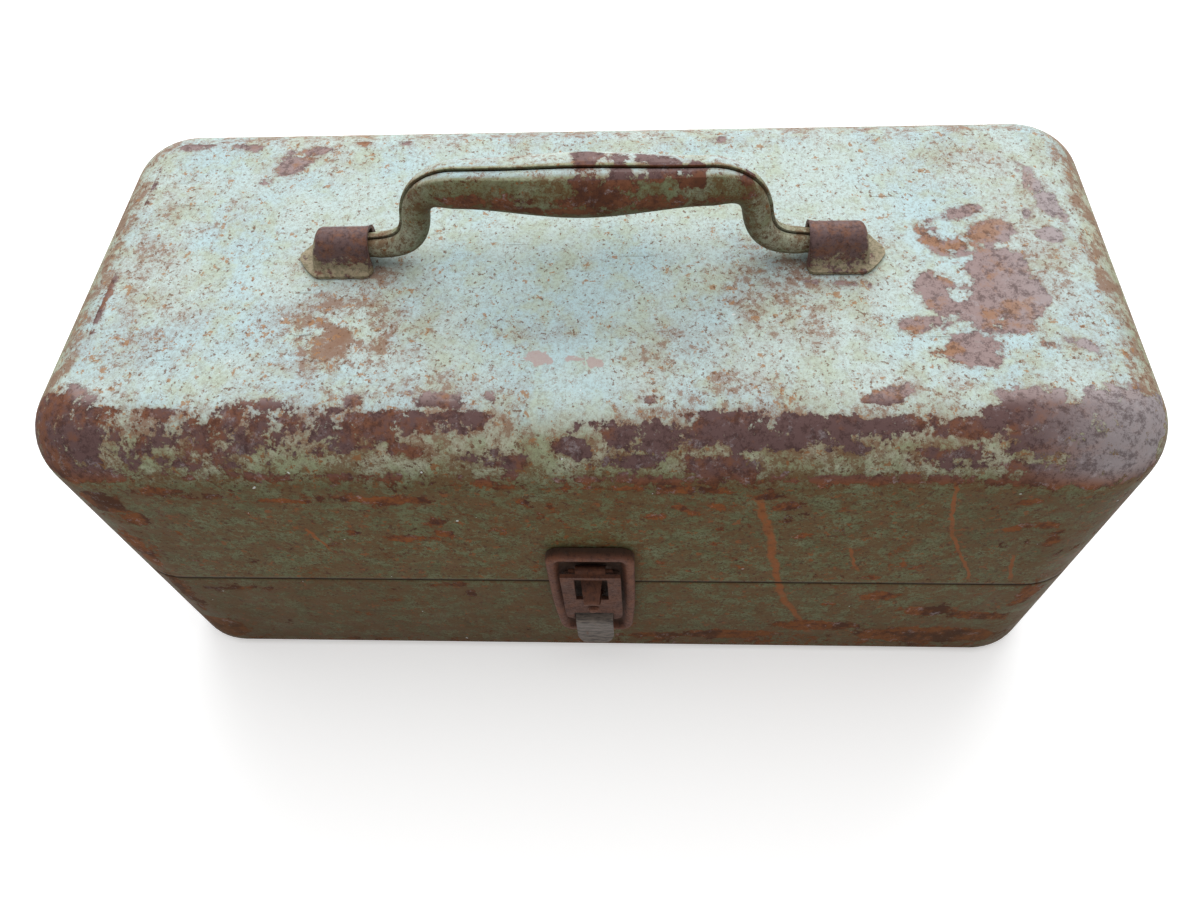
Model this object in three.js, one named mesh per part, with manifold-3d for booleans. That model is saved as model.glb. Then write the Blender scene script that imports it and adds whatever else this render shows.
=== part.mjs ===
// A pressed steel toolbox with a lift-up tray, a folded sheet carrying handle and a front latch.
// Millimetres. X runs along the front, Y runs to the back and Z runs up.
// The origin is the middle of the underside. The box is drawn shut, with its handle up.
import * as THREE from "three";
import { mergeVertices } from "three/addons/utils/BufferGeometryUtils.js";
import Module from "manifold-3d";

const wasm = await Module();
wasm.setup();

// ---------- driving sizes ----------

// The box
const LENGTH = 406;
const DEPTH = 178;
const HEIGHT = 175;
const SEAM_HEIGHT = 77; // where the lid meets the base
const SHEET = 1; // sheet thickness of the base, lid and tray
const PLAN_RADIUS = 29; // upright corners, seen from above
const TOP_RADIUS = 25; // lid's edge rounding
const BOTTOM_RADIUS = 8; // base's edge rounding
const CORNER_STEPS = 6; // facets to each quarter turn
const SMALL_BAR_SIDES = 12;

// Clearances
const TOUCH_GAP = 0.3; // between pieces that bear on each other
const HOLE_CLEARANCE = 0.3; // round a rivet or pin, on the radius
const RIM_CLEARANCE = 0.35; // between the lid's wall and the rim it closes over

// The base's rim, which the lid closes over
const RIM_HEIGHT = 8;
const RIM_SHELF = 1.2; // thickness of the step under the rim
const BEAD_INSET = 25; // stiffening bead in the floor
const BEAD_WIDTH = 7;
const BEAD_HEIGHT = 1.5;
const BEAD_SLOPE = 1.5;

// Hinges
const HINGE_INSET = 88; // from the end of the box to a hinge's middle
const HINGE_LENGTH = 50;
const HINGE_KNUCKLES = 5;
const HINGE_LEAF = 1.2;
const HINGE_LEAF_HEIGHT = 20;
const HINGE_KNUCKLE_RADIUS = 2.6;
const HINGE_PIN_RADIUS = 1.3;
const HINGE_KNUCKLE_GAP = 0.4;
const HINGE_KNUCKLE_SINK = 0.3; // how far the knuckles reach into the leaves' middle plane
const HINGE_PIN_OVERHANG = 1;
const HINGE_RIVET_SPREAD = 30; // between a leaf's two rivets
const HINGE_RIVET_HEIGHT = 12.5; // from the hinge's axis to its rivets

// Rivets
const RIVET_RADIUS = 1.6;
const RIVET_HEAD_RADIUS = 3.2;
const RIVET_HEAD = 1.5;
const RIVET_TAIL_RADIUS = 2.6;
const RIVET_TAIL = 1.2;
const RIVET_DOME_SHOULDER = 0.77; // share of the head's height where its shoulder is
const RIVET_DOME_WIDTH = 0.75; // and the share of its radius there

// Tray
const TRAY_DROP = 3; // how far its floor hangs below the seam
const TRAY_HEIGHT = 40;
const TRAY_RADIUS = 20;
const TRAY_FLOOR_RADIUS = 4;
const TRAY_CORNER_STEPS = 3;
const TRAY_HEM = 2; // thickness of its folded rim
const TRAY_HEM_HEIGHT = 5;
const TRAY_END_CLEARANCE = 3.15; // tray end to rim, room for an arm
const TRAY_FRONT_CLEARANCE = 6.65;
const TRAY_SWING_CLEARANCE = 1;
const DIVIDER_SHEET = 0.8;
const DIVIDER_FOOT = 8;
const DIVIDER_HEIGHT = 30;
const LONG_DIVIDER_Y = -4;
const CROSS_DIVIDERS = 3;

// Tray linkage: two arms and the lid carry the tray as a parallelogram.
const ARM_SHEET = 1.5;
const ARM_WIDTH = 12;
const ARM_GAP = 0.8; // between the tray's end and an arm
const LID_TRAY_PIVOT_Y = 15;
const LID_TRAY_PIVOT_DROP = 9; // below the tray's rim
const ARM_TRAY_PIVOT_Y = -37.2;
const ARM_TRAY_PIVOT_RISE = 14; // above the tray's floor
const ARM_TRAY_HEAD_RADIUS = 2.6;
const SPACER_RADIUS = 5;

// Handle, standing up on a pivot line along X
const HANDLE_PIVOT_RISE = 7; // above the lid
const HANDLE_SHEET = 1.2;
const HANDLE_GRIP_RISE = 27.2; // grip's middle above the pivot line
const HANDLE_GRIP_END_RISE = 28.3;
const HANDLE_GRIP_HALF = 44; // half the nearly straight length of the grip
const HANDLE_LEG_X = 61.5;
const HANDLE_LEG_RISE = 15; // where a leg is steepest
const HANDLE_LEG_SPLAY = 9.23; // degrees out from upright at that point
const HANDLE_BEND_SHARE = 0.55; // pull of the bends, as a share of the leg's rise
const HANDLE_UPPER_BEND = 1.4; // and each bend's own share of that
const HANDLE_LOWER_BEND = 1.25;
const HANDLE_FOOT_BEND = 1.5;
const HANDLE_FOOT_X = 80; // where the ends run level into the clips
const HANDLE_END_X = 98;
const HANDLE_GRIP_THICKNESS = 22.4;
const HANDLE_GRIP_END_THICKNESS = 17.4;
const HANDLE_LEG_THICKNESS = 11.6;
const HANDLE_END_THICKNESS = 10.5;
const HANDLE_SEAM_ANGLE = 15; // seam lies this far forward of the outer edge
const HANDLE_SEAM_HALF_ANGLE = 4;
const HANDLE_SECTION_POINTS = 11;
const HANDLE_STATIONS = 41;

// Handle clips
const CLIP_SHEET = 1.2;
const CLIP_CLEARANCE = 0.35;
const CLIP_INNER_X = 81;
const CLIP_SHOULDER_X = 99; // where the bulge starts to close
const CLIP_CLOSED_X = 104;
const CLIP_TIP_X = 110.5;
const CLIP_HALF_WIDTH = 11;
const CLIP_TIP_HALF_WIDTH = 2;

// Latch: heights are from the seam, and outs from the front wall
const LATCH_HALF_WIDTH = 17.5;
const LATCH_TOP = 31;
const LATCH_BOTTOM = -42;
const LATCH_CORNER_RADIUS = 6;
const LATCH_SHEET = 1.1;
const LATCH_BORDER_OUT = 5;
const LATCH_BORDER_WIDTH = 5;
const LATCH_BORDER_CREST = 1.6; // flat top of its border
const LATCH_BORDER_ROUND = 1.5;
const LATCH_FLOOR_EDGE = 3; // flat floor inside the border before the middle is filled in
const LATCH_SLOPE_FOOT = { inset: 0.5, rise: 1.2 }; // bend at the border's inner foot
const LATCH_FLOOR_OUT = 1.6; // recessed floor's face
const LATCH_TAPER = 0.12; // share of its width lost at the bottom
const LATCH_RIVET_X = 9;
const LATCH_RIVET_RISE = 12;
const LATCH_RIVET_HEAD_RADIUS = 2.4;
const LATCH_PIVOT_RISE = 18.6;
const LATCH_PIVOT_OUT = 4.3;
const LATCH_PIN_RADIUS = 0.9;
const LATCH_PIN_CLEARANCE = 0.24;
const LATCH_PIN_OVERHANG = 0.6;
const LATCH_LUG_INNER = 6.4;
const LATCH_LUG_OUTER = 8.2;
const LATCH_LUG_RADIUS = 1.55;
const LATCH_LUG_ROOT = 0.4; // depth of a lug's root in the pan's floor

// The lever, hinged at its top, with a window that the staple stands through
const LEVER_HALF_WIDTH = 12;
const LEVER_SHEET = 1.6;
const LEVER_BACK_OUT = 6.2;
const LEVER_TOP = 19.5;
const LEVER_BOTTOM = -21.5;
const LEVER_CORNER_RADIUS = 4;
const LEVER_WINDOW_HALF = 6.7;
const LEVER_WINDOW_TOP = 17.5;
const LEVER_WINDOW_BOTTOM = -1.3;
const LEVER_NOTCH_HALF = 8.4; // notch in its lower edge, for the thumb tab
const LEVER_NOTCH_TOP = -15;
const LEVER_KNUCKLE_RADIUS = 2.3;
const LEVER_KNUCKLE_HALF = 6;

// The thumb tab, riveted behind the lever
const TAB_SHEET = 1.4;
const TAB_TOP = -4;
const TAB_BEND = -13.8; // where it starts to turn forward
const TAB_FACE_OUT = 9.6;
const TAB_FACE_TOP = -21.8;
const TAB_HALF_WIDTH = 7.9;
const TAB_HALF_TIP = 5.5;
const TAB_TIP_RISE = -38;
const TAB_TIP_OUT = 11.4;
const TAB_RIVET_RISE = -10;
const TAB_RIVET_RADIUS = 1.2;
const TAB_RIVET_HEAD_RADIUS = 2.4;
const TAB_BEND_PULL = 0.7; // how rounded its step forward is, as a share of the step's height
const TAB_CURL_PULL = [6, 5]; // how far the curl's two ends stay straight
const TAB_ROUNDED_SHARE = 0.15; // share of its length over which its tip is rounded
const TAB_STEPS = 24;

// The staple, a folded strip for a padlock
const STAPLE_SHEET = 1;
const STAPLE_TOP = 15.4;
const STAPLE_SHOULDER = 13.4; // where its upper leg leaves the pan
const STAPLE_NOSE_RISE = 3.2;
const STAPLE_NOSE_OUT = 12;
const STAPLE_HEEL = -4; // where its lower leg meets the pan again
const STAPLE_BOTTOM = -6.5;
const STAPLE_HALF_ROOT = 5;
const STAPLE_NOSE_RADIUS = 2;
const STAPLE_STEPS = 30;
const STAPLE_ROOT_PULL = 3; // how far the bends at its roots reach along the pan
const STAPLE_HALF_NOSE = 3.1;

// The keeper on the base
const KEEPER_HALF_WIDTH = 5;
const KEEPER_TOP = -21;
const KEEPER_BOTTOM = -35;
const KEEPER_SHEET = 1;
const KEEPER_LIP = 0.8;
const KEEPER_LIP_HEIGHT = 1.5;
const KEEPER_RIVET_RISE = -31;
const KEEPER_SLOT_HALF = 6;
const KEEPER_SLOT_TOP = -19;

// ---------- sizes worked out from them ----------

const halfLength = LENGTH / 2;
const halfDepth = DEPTH / 2;
const rimOuterInset = SHEET + RIM_CLEARANCE;
const rimInset = rimOuterInset + SHEET;
const shelfTop = SEAM_HEIGHT - TOUCH_GAP;

const hingeAxis = {
  y: halfDepth + TOUCH_GAP + HINGE_LEAF / 2 + HINGE_KNUCKLE_RADIUS - HINGE_KNUCKLE_SINK,
  z: SEAM_HEIGHT - TOUCH_GAP / 2,
};

const trayFloor = SEAM_HEIGHT - TRAY_DROP;
const trayTop = trayFloor + TRAY_HEIGHT;
const trayHalfLength = halfLength - rimInset - TRAY_END_CLEARANCE;
const lidTrayPivot = { y: LID_TRAY_PIVOT_Y, z: trayTop - LID_TRAY_PIVOT_DROP };
const armTrayPivot = { y: ARM_TRAY_PIVOT_Y, z: trayFloor + ARM_TRAY_PIVOT_RISE };
const armBasePivot = {
  y: armTrayPivot.y - (lidTrayPivot.y - hingeAxis.y),
  z: armTrayPivot.z - (lidTrayPivot.z - hingeAxis.z),
};
// The tray turns inside the lid about their shared pivot, so its far lower edge may reach
// no further from that pivot than the lid's top and back walls.
const traySwingReach = Math.min(
  HEIGHT - SHEET - lidTrayPivot.z,
  halfDepth - SHEET - lidTrayPivot.y,
) - TRAY_SWING_CLEARANCE;
const trayPivotRise = lidTrayPivot.z - trayFloor;
const trayFront = -(halfDepth - rimInset - TRAY_FRONT_CLEARANCE);
const trayBack = lidTrayPivot.y + Math.sqrt(traySwingReach ** 2 - trayPivotRise ** 2);

const handlePivotZ = HEIGHT + HANDLE_PIVOT_RISE;
const clipBulgeInner = HANDLE_END_THICKNESS / 2 + CLIP_CLEARANCE;
const wallFront = -halfDepth; // outer face of the front wall
const latchPivot = {
  y: wallFront - LATCH_PIVOT_OUT,
  z: SEAM_HEIGHT + LATCH_PIVOT_RISE,
};

// ---------- materials ----------

const greenPaint = new THREE.MeshStandardMaterial({ color: 0x93a58c, roughness: 0.6, metalness: 0.2 });
const trayPaint = new THREE.MeshStandardMaterial({ color: 0x7f9480, roughness: 0.6, metalness: 0.2 });
const rustySteel = new THREE.MeshStandardMaterial({ color: 0x5b3526, roughness: 0.85, metalness: 0.4 });
const wornSteel = new THREE.MeshStandardMaterial({ color: 0x8a857c, roughness: 0.45, metalness: 0.8 });

const toolbox = new THREE.Group();

function addPiece(name, geometry, material) {
  const mesh = new THREE.Mesh(geometry, material);
  mesh.name = name;
  toolbox.add(mesh);
  return mesh;
}

// ---------- closed meshes from rings of points ----------

function geometryFrom(points, triangles) {
  const geometry = new THREE.BufferGeometry();
  geometry.setAttribute("position", new THREE.Float32BufferAttribute(points.flat(), 3));
  geometry.setIndex(facingOut(points, triangles));
  return geometry;
}

// Triangle corners in an order that makes the solid's volume positive.
function facingOut(points, triangles) {
  let volume = 0;
  for (const [a, b, c] of triangles) {
    const [p, q, r] = [points[a], points[b], points[c]];
    volume += p[0] * (q[1] * r[2] - q[2] * r[1]);
    volume += p[1] * (q[2] * r[0] - q[0] * r[2]);
    volume += p[2] * (q[0] * r[1] - q[1] * r[0]);
  }
  return triangles.flatMap(([a, b, c]) => (volume > 0 ? [a, b, c] : [a, c, b]));
}

function ringSides(ringCount, ringSize) {
  const triangles = [];
  for (let ring = 0; ring + 1 < ringCount; ring += 1) {
    for (let i = 0; i < ringSize; i += 1) {
      const next = (i + 1) % ringSize;
      const [low, high] = [ring * ringSize, (ring + 1) * ringSize];
      triangles.push([low + i, low + next, high + next]);
      triangles.push([low + i, high + next, high + i]);
    }
  }
  return triangles;
}

// Rings joined one to the next, with the first and last closed about their middles.
function stackedRings(rings) {
  const size = rings[0].length;
  const points = rings.flat();
  const triangles = ringSides(rings.length, size);
  const middle = (ring) => [0, 1, 2].map((k) => ring.reduce((sum, p) => sum + p[k], 0) / size);
  const lastStart = (rings.length - 1) * size;
  const firstMiddle = points.push(middle(rings[0])) - 1;
  const lastMiddle = points.push(middle(rings[rings.length - 1])) - 1;
  for (let i = 0; i < size; i += 1) {
    const next = (i + 1) % size;
    triangles.push([next, i, firstMiddle]);
    triangles.push([lastStart + i, lastStart + next, lastMiddle]);
  }
  return geometryFrom(points, triangles);
}

// A bent sheet: each station has an outer and an inner line of points of one length.
function bentSheet(stations) {
  const width = stations[0].outer.length;
  const rings = stations.map(({ outer, inner }) => [...outer, ...inner.slice().reverse()]);
  const size = width * 2;
  const triangles = ringSides(rings.length, size);
  const lastStart = (rings.length - 1) * size;
  for (let i = 0; i + 1 < width; i += 1) {
    const [a, b] = [i, i + 1];
    const [c, d] = [size - 1 - b, size - 1 - a];
    triangles.push([b, a, d], [b, d, c]);
    triangles.push([lastStart + a, lastStart + b, lastStart + d]);
    triangles.push([lastStart + b, lastStart + c, lastStart + d]);
  }
  return geometryFrom(rings.flat(), triangles);
}

function degrees(angle) {
  return (angle * Math.PI) / 180;
}

function roundedRectangle(left, right, front, back, radius) {
  const corners = [
    [right - radius, back - radius, 0],
    [left + radius, back - radius, 90],
    [left + radius, front + radius, 180],
    [right - radius, front + radius, 270],
  ];
  return corners.flatMap(([x, y, start]) =>
    Array.from({ length: CORNER_STEPS + 1 }, (_, i) => {
      const angle = degrees(start + (90 * i) / CORNER_STEPS);
      return [x + radius * Math.cos(angle), y + radius * Math.sin(angle)];
    }),
  );
}

// A pressed pan: a section of [inset, height] points carried round a rounded rectangle.
function pressedPan(section, { left, right, front, back, radius }) {
  const smallestRadius = 2;
  return stackedRings(
    section.map(([inset, height]) =>
      roundedRectangle(
        left + inset,
        right - inset,
        front + inset,
        back - inset,
        Math.max(radius - inset, smallestRadius),
      ).map(([x, y]) => [x, y, height]),
    ),
  );
}

function arc(centreInset, centreHeight, radius, from, to, steps = CORNER_STEPS) {
  return Array.from({ length: steps + 1 }, (_, i) => {
    const angle = degrees(from + ((to - from) * i) / steps);
    return [centreInset + radius * Math.cos(angle), centreHeight + radius * Math.sin(angle)];
  });
}

// ---------- cutting and joining ----------

function toSolid(geometry) {
  const bare = geometry.clone();
  bare.deleteAttribute("normal");
  bare.deleteAttribute("uv");
  const merged = mergeVertices(bare, 1e-4);
  return new wasm.Manifold(
    new wasm.Mesh({
      numProp: 3,
      vertProperties: new Float32Array(merged.attributes.position.array),
      triVerts: new Uint32Array(merged.index.array),
    }),
  );
}

function fromSolid(solid) {
  const mesh = solid.getMesh();
  const geometry = new THREE.BufferGeometry();
  geometry.setAttribute("position", new THREE.BufferAttribute(new Float32Array(mesh.vertProperties), 3));
  geometry.setIndex(new THREE.BufferAttribute(new Uint32Array(mesh.triVerts), 1));
  return geometry;
}

function cut(geometry, tools) {
  return fromSolid(tools.reduce((solid, tool) => solid.subtract(toSolid(tool)), toSolid(geometry)));
}

function join(geometry, others) {
  return fromSolid(others.reduce((solid, other) => solid.add(toSolid(other)), toSolid(geometry)));
}

// A block between two corners.
function block([x0, y0, z0], [x1, y1, z1]) {
  const geometry = new THREE.BoxGeometry(x1 - x0, y1 - y0, z1 - z0);
  geometry.translate((x0 + x1) / 2, (y0 + y1) / 2, (z0 + z1) / 2);
  return geometry;
}

// A round bar along X between two ends.
function barAlongX(radius, x0, x1, y, z, segments = 16) {
  const geometry = new THREE.CylinderGeometry(radius, radius, Math.abs(x1 - x0), segments);
  geometry.rotateZ(Math.PI / 2);
  geometry.translate((x0 + x1) / 2, y, z);
  return geometry;
}

function barAlongY(radius, y0, y1, x, z, segments = 16) {
  const geometry = new THREE.CylinderGeometry(radius, radius, Math.abs(y1 - y0), segments);
  geometry.translate(x, (y0 + y1) / 2, z);
  return geometry;
}

// A rivet along +Y: its tail below 0, its shank from 0 to grip and its domed head above.
function rivetGeometry(grip, headRadius = RIVET_HEAD_RADIUS, shankRadius = RIVET_RADIUS) {
  const section = [
    [0, -RIVET_TAIL],
    [RIVET_TAIL_RADIUS, -RIVET_TAIL],
    [RIVET_TAIL_RADIUS, 0],
    [shankRadius, 0],
    [shankRadius, grip],
    [headRadius, grip],
    [headRadius * RIVET_DOME_WIDTH, grip + RIVET_HEAD * RIVET_DOME_SHOULDER],
    [0, grip + RIVET_HEAD],
  ];
  const segments = 12;
  return new THREE.LatheGeometry(section.map(([r, h]) => new THREE.Vector2(r, h)), segments);
}

// A rivet whose tail is at the start and whose head points along side * X.
function rivetAlongX(side, start, grip, y, z, headRadius) {
  const geometry = rivetGeometry(grip, headRadius);
  geometry.rotateZ((-side * Math.PI) / 2);
  geometry.translate(side * start, y, z);
  return geometry;
}

function rivetAlongY(side, start, grip, x, z, headRadius, shankRadius) {
  const geometry = rivetGeometry(grip, headRadius, shankRadius);
  if (side < 0) geometry.rotateX(Math.PI);
  geometry.translate(x, start, z);
  return geometry;
}

function ring(outerRadius, innerRadius, x0, x1, y, z) {
  const outline = new THREE.Shape();
  outline.absarc(0, 0, outerRadius, 0, Math.PI * 2);
  const hole = new THREE.Path();
  hole.absarc(0, 0, innerRadius, 0, Math.PI * 2, true);
  outline.holes.push(hole);
  const geometry = new THREE.ExtrudeGeometry(outline, {
    depth: Math.abs(x1 - x0),
    bevelEnabled: false,
    curveSegments: 8,
  });
  geometry.rotateY(Math.PI / 2);
  geometry.translate(Math.min(x0, x1), y, z);
  return geometry;
}

const sides = [
  { name: "left", sign: -1 },
  { name: "right", sign: 1 },
];

const boxPlan = {
  left: -halfLength,
  right: halfLength,
  front: -halfDepth,
  back: halfDepth,
  radius: PLAN_RADIUS,
};

// ---------- holes that two pieces share ----------

const holeRadius = RIVET_RADIUS + HOLE_CLEARANCE;
const hingeMiddles = sides.map(({ sign }) => sign * (halfLength - HINGE_INSET));
const hingeRivetXs = hingeMiddles.flatMap((x) => [x - HINGE_RIVET_SPREAD / 2, x + HINGE_RIVET_SPREAD / 2]);

// Long enough to pass through one wall and stop well short of the next.
const drillReach = 6;

function drillsAlongX(wallX, { y, z }) {
  return sides.map(({ sign }) =>
    barAlongX(holeRadius, sign * (wallX - drillReach), sign * (wallX + drillReach), y, z),
  );
}

function drillAlongY(wallY, x, z) {
  return barAlongY(holeRadius, wallY - drillReach, wallY + drillReach, x, z);
}

// ---------- base ----------

function makeBase() {
  const innerRadius = BOTTOM_RADIUS - SHEET;
  const beadInner = BEAD_INSET + BEAD_WIDTH;
  const underside = [
    [beadInner, 0],
    [beadInner - BEAD_SLOPE, BEAD_HEIGHT],
    [BEAD_INSET + BEAD_SLOPE, BEAD_HEIGHT],
    [BEAD_INSET, 0],
  ];
  const rim = [
    [0, shelfTop],
    [rimOuterInset, shelfTop],
    [rimOuterInset, SEAM_HEIGHT + RIM_HEIGHT],
    [rimInset, SEAM_HEIGHT + RIM_HEIGHT],
    [rimInset, shelfTop - RIM_SHELF],
    [SHEET, shelfTop - RIM_SHELF],
  ];
  const floorTop = underside.map(([inset, height]) => [inset, height + SHEET]).reverse();
  const section = [
    ...underside,
    ...arc(BOTTOM_RADIUS, BOTTOM_RADIUS, BOTTOM_RADIUS, 270, 180),
    ...rim,
    ...arc(BOTTOM_RADIUS, BOTTOM_RADIUS, innerRadius, 180, 270),
    ...floorTop,
  ];
  const drills = [
    ...hingeRivetXs.map((x) => drillAlongY(halfDepth, x, hingeAxis.z - HINGE_RIVET_HEIGHT)),
    drillAlongY(wallFront, 0, SEAM_HEIGHT + KEEPER_RIVET_RISE),
    ...drillsAlongX(halfLength, armBasePivot),
  ];
  addPiece("base_shell", cut(pressedPan(section, boxPlan), drills), greenPaint);
}

// ---------- lid ----------

function makeLid() {
  const section = [
    ...arc(TOP_RADIUS, HEIGHT - TOP_RADIUS, TOP_RADIUS, 90, 180),
    [0, SEAM_HEIGHT],
    [SHEET, SEAM_HEIGHT],
    ...arc(TOP_RADIUS, HEIGHT - TOP_RADIUS, TOP_RADIUS - SHEET, 180, 90),
  ];
  const drills = [
    ...hingeRivetXs.map((x) => drillAlongY(halfDepth, x, hingeAxis.z + HINGE_RIVET_HEIGHT)),
    ...sides.map(({ sign }) => drillAlongY(wallFront, sign * LATCH_RIVET_X, SEAM_HEIGHT + LATCH_RIVET_RISE)),
    ...drillsAlongX(halfLength, lidTrayPivot),
  ];
  addPiece("lid_shell", cut(pressedPan(section, boxPlan), drills), greenPaint);
}

// ---------- hinges ----------

const hingeLeafBack = halfDepth + TOUCH_GAP;

// The knuckles of one leaf: the base's are the odd ones and the lid's the even ones.
function knuckleSpans(middle, isBase) {
  const step = HINGE_LENGTH / HINGE_KNUCKLES;
  return Array.from({ length: HINGE_KNUCKLES }, (_, i) => ({
    start: middle - HINGE_LENGTH / 2 + i * step + HINGE_KNUCKLE_GAP / 2,
    end: middle - HINGE_LENGTH / 2 + (i + 1) * step - HINGE_KNUCKLE_GAP / 2,
    mine: (i % 2 === 0) === isBase,
  }));
}

function makeHingeLeaf(name, middle, isBase) {
  const way = isBase ? -1 : 1;
  const { y, z } = hingeAxis;
  const [edge, far] = [z, z + way * HINGE_LEAF_HEIGHT];
  const plate = block(
    [middle - HINGE_LENGTH / 2, hingeLeafBack, Math.min(edge, far)],
    [middle + HINGE_LENGTH / 2, hingeLeafBack + HINGE_LEAF, Math.max(edge, far)],
  );
  const spans = knuckleSpans(middle, isBase);
  const knuckles = spans
    .filter((span) => span.mine)
    .map((span) => barAlongX(HINGE_KNUCKLE_RADIUS, span.start, span.end, y, z, 20));
  const notchReach = HINGE_KNUCKLE_RADIUS + HINGE_KNUCKLE_GAP;
  const notches = spans
    .filter((span) => !span.mine)
    .map((span) =>
      block(
        [span.start - HINGE_KNUCKLE_GAP, hingeLeafBack - 1, z - notchReach],
        [span.end + HINGE_KNUCKLE_GAP, y + notchReach, z + notchReach],
      ),
    );
  const boreHalf = HINGE_LENGTH / 2 + 2;
  const pinBore = barAlongX(HINGE_PIN_RADIUS + HOLE_CLEARANCE, middle - boreHalf, middle + boreHalf, y, z);
  const rivetHoles = [-1, 1].map((sign) =>
    drillAlongY(hingeLeafBack, middle + (sign * HINGE_RIVET_SPREAD) / 2, z + way * HINGE_RIVET_HEIGHT),
  );
  const cleared = cut(plate, notches);
  addPiece(name, cut(join(cleared, knuckles), [pinBore, ...rivetHoles]), wornSteel);
}

function makeHinges() {
  sides.forEach((side, i) => {
    const middle = hingeMiddles[i];
    makeHingeLeaf(`hinge_base_leaf_${side.name}`, middle, true);
    makeHingeLeaf(`hinge_lid_leaf_${side.name}`, middle, false);
    const pinHalf = HINGE_LENGTH / 2 + HINGE_PIN_OVERHANG;
    const pin = barAlongX(HINGE_PIN_RADIUS, middle - pinHalf, middle + pinHalf, hingeAxis.y, hingeAxis.z);
    addPiece(`hinge_pin_${side.name}`, pin, wornSteel);
  });
  const start = halfDepth - SHEET - TOUCH_GAP;
  const grip = SHEET + HINGE_LEAF + 3 * TOUCH_GAP;
  hingeRivetXs.forEach((x, i) => {
    const [low, high] = [hingeAxis.z - HINGE_RIVET_HEIGHT, hingeAxis.z + HINGE_RIVET_HEIGHT];
    addPiece(`hinge_base_rivet_${i + 1}`, rivetAlongY(1, start, grip, x, low), wornSteel);
    addPiece(`hinge_lid_rivet_${i + 1}`, rivetAlongY(1, start, grip, x, high), wornSteel);
  });
}

// ---------- tray ----------

const trayPlan = {
  left: -trayHalfLength,
  right: trayHalfLength,
  front: trayFront,
  back: trayBack,
  radius: TRAY_RADIUS,
};

function makeTray() {
  const cornerHeight = trayFloor + TRAY_FLOOR_RADIUS;
  const section = [
    ...arc(TRAY_FLOOR_RADIUS, cornerHeight, TRAY_FLOOR_RADIUS, 270, 180, TRAY_CORNER_STEPS),
    [0, trayTop],
    [TRAY_HEM, trayTop],
    [TRAY_HEM, trayTop - TRAY_HEM_HEIGHT],
    [SHEET, trayTop - TRAY_HEM_HEIGHT],
    ...arc(TRAY_FLOOR_RADIUS, cornerHeight, TRAY_FLOOR_RADIUS - SHEET, 180, 270, TRAY_CORNER_STEPS),
  ];
  const drills = [lidTrayPivot, armTrayPivot].flatMap((pivot) => drillsAlongX(trayHalfLength, pivot));
  addPiece("tray_shell", cut(pressedPan(section, trayPlan), drills), trayPaint);
}

// An angle of sheet standing on its foot: it runs along X and its foot points to +Y.
function dividerGeometry(length) {
  const outline = new THREE.Shape();
  outline.moveTo(0, 0);
  outline.lineTo(DIVIDER_FOOT, 0);
  outline.lineTo(DIVIDER_FOOT, DIVIDER_SHEET);
  outline.lineTo(DIVIDER_SHEET, DIVIDER_SHEET);
  outline.lineTo(DIVIDER_SHEET, DIVIDER_HEIGHT);
  outline.lineTo(0, DIVIDER_HEIGHT);
  outline.closePath();
  const geometry = new THREE.ExtrudeGeometry(outline, { depth: length, bevelEnabled: false });
  // The outline lies in Y and Z, and the length runs along X.
  geometry.rotateX(Math.PI / 2);
  geometry.rotateZ(Math.PI / 2);
  geometry.translate(-length / 2, 0, 0);
  return geometry;
}

function makeDividers() {
  const floor = trayFloor + SHEET + TOUCH_GAP;
  const longHalf = trayHalfLength - SHEET - TRAY_FLOOR_RADIUS;
  const long = addPiece("tray_long_divider", dividerGeometry(2 * longHalf), trayPaint);
  long.position.set(0, LONG_DIVIDER_Y, floor);
  const [front, back] = [trayFront + TRAY_FLOOR_RADIUS + SHEET, LONG_DIVIDER_Y - TOUCH_GAP];
  for (let i = 0; i < CROSS_DIVIDERS; i += 1) {
    const cross = addPiece(`tray_cross_divider_${i + 1}`, dividerGeometry(back - front), trayPaint);
    cross.rotation.z = Math.PI / 2;
    const share = (i + 1) / (CROSS_DIVIDERS + 1);
    cross.position.set(-trayHalfLength + share * 2 * trayHalfLength, (front + back) / 2, floor);
  }
}

// ---------- arms that carry the tray ----------

function makeArm({ name, sign }) {
  const { y: y0, z: z0 } = armTrayPivot;
  const span = Math.hypot(armBasePivot.y - y0, armBasePivot.z - z0);
  const slope = Math.atan2(armBasePivot.z - z0, armBasePivot.y - y0);
  const outline = new THREE.Shape();
  outline.absarc(0, 0, ARM_WIDTH / 2, Math.PI / 2, (3 * Math.PI) / 2);
  outline.absarc(span, 0, ARM_WIDTH / 2, -Math.PI / 2, Math.PI / 2);
  outline.closePath();
  for (const along of [0, span]) {
    const hole = new THREE.Path();
    hole.absarc(along, 0, holeRadius, 0, Math.PI * 2, true);
    outline.holes.push(hole);
  }
  const geometry = new THREE.ExtrudeGeometry(outline, {
    depth: ARM_SHEET,
    bevelEnabled: false,
    curveSegments: 8,
  });
  // The outline lies in Y and Z, and the thickness runs along X.
  geometry.rotateZ(slope);
  geometry.rotateX(Math.PI / 2);
  geometry.rotateZ(Math.PI / 2);
  const inner = trayHalfLength + ARM_GAP;
  geometry.translate(sign > 0 ? inner : -inner - ARM_SHEET, y0, z0);
  addPiece(`tray_arm_${name}`, geometry, wornSteel);
}

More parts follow.
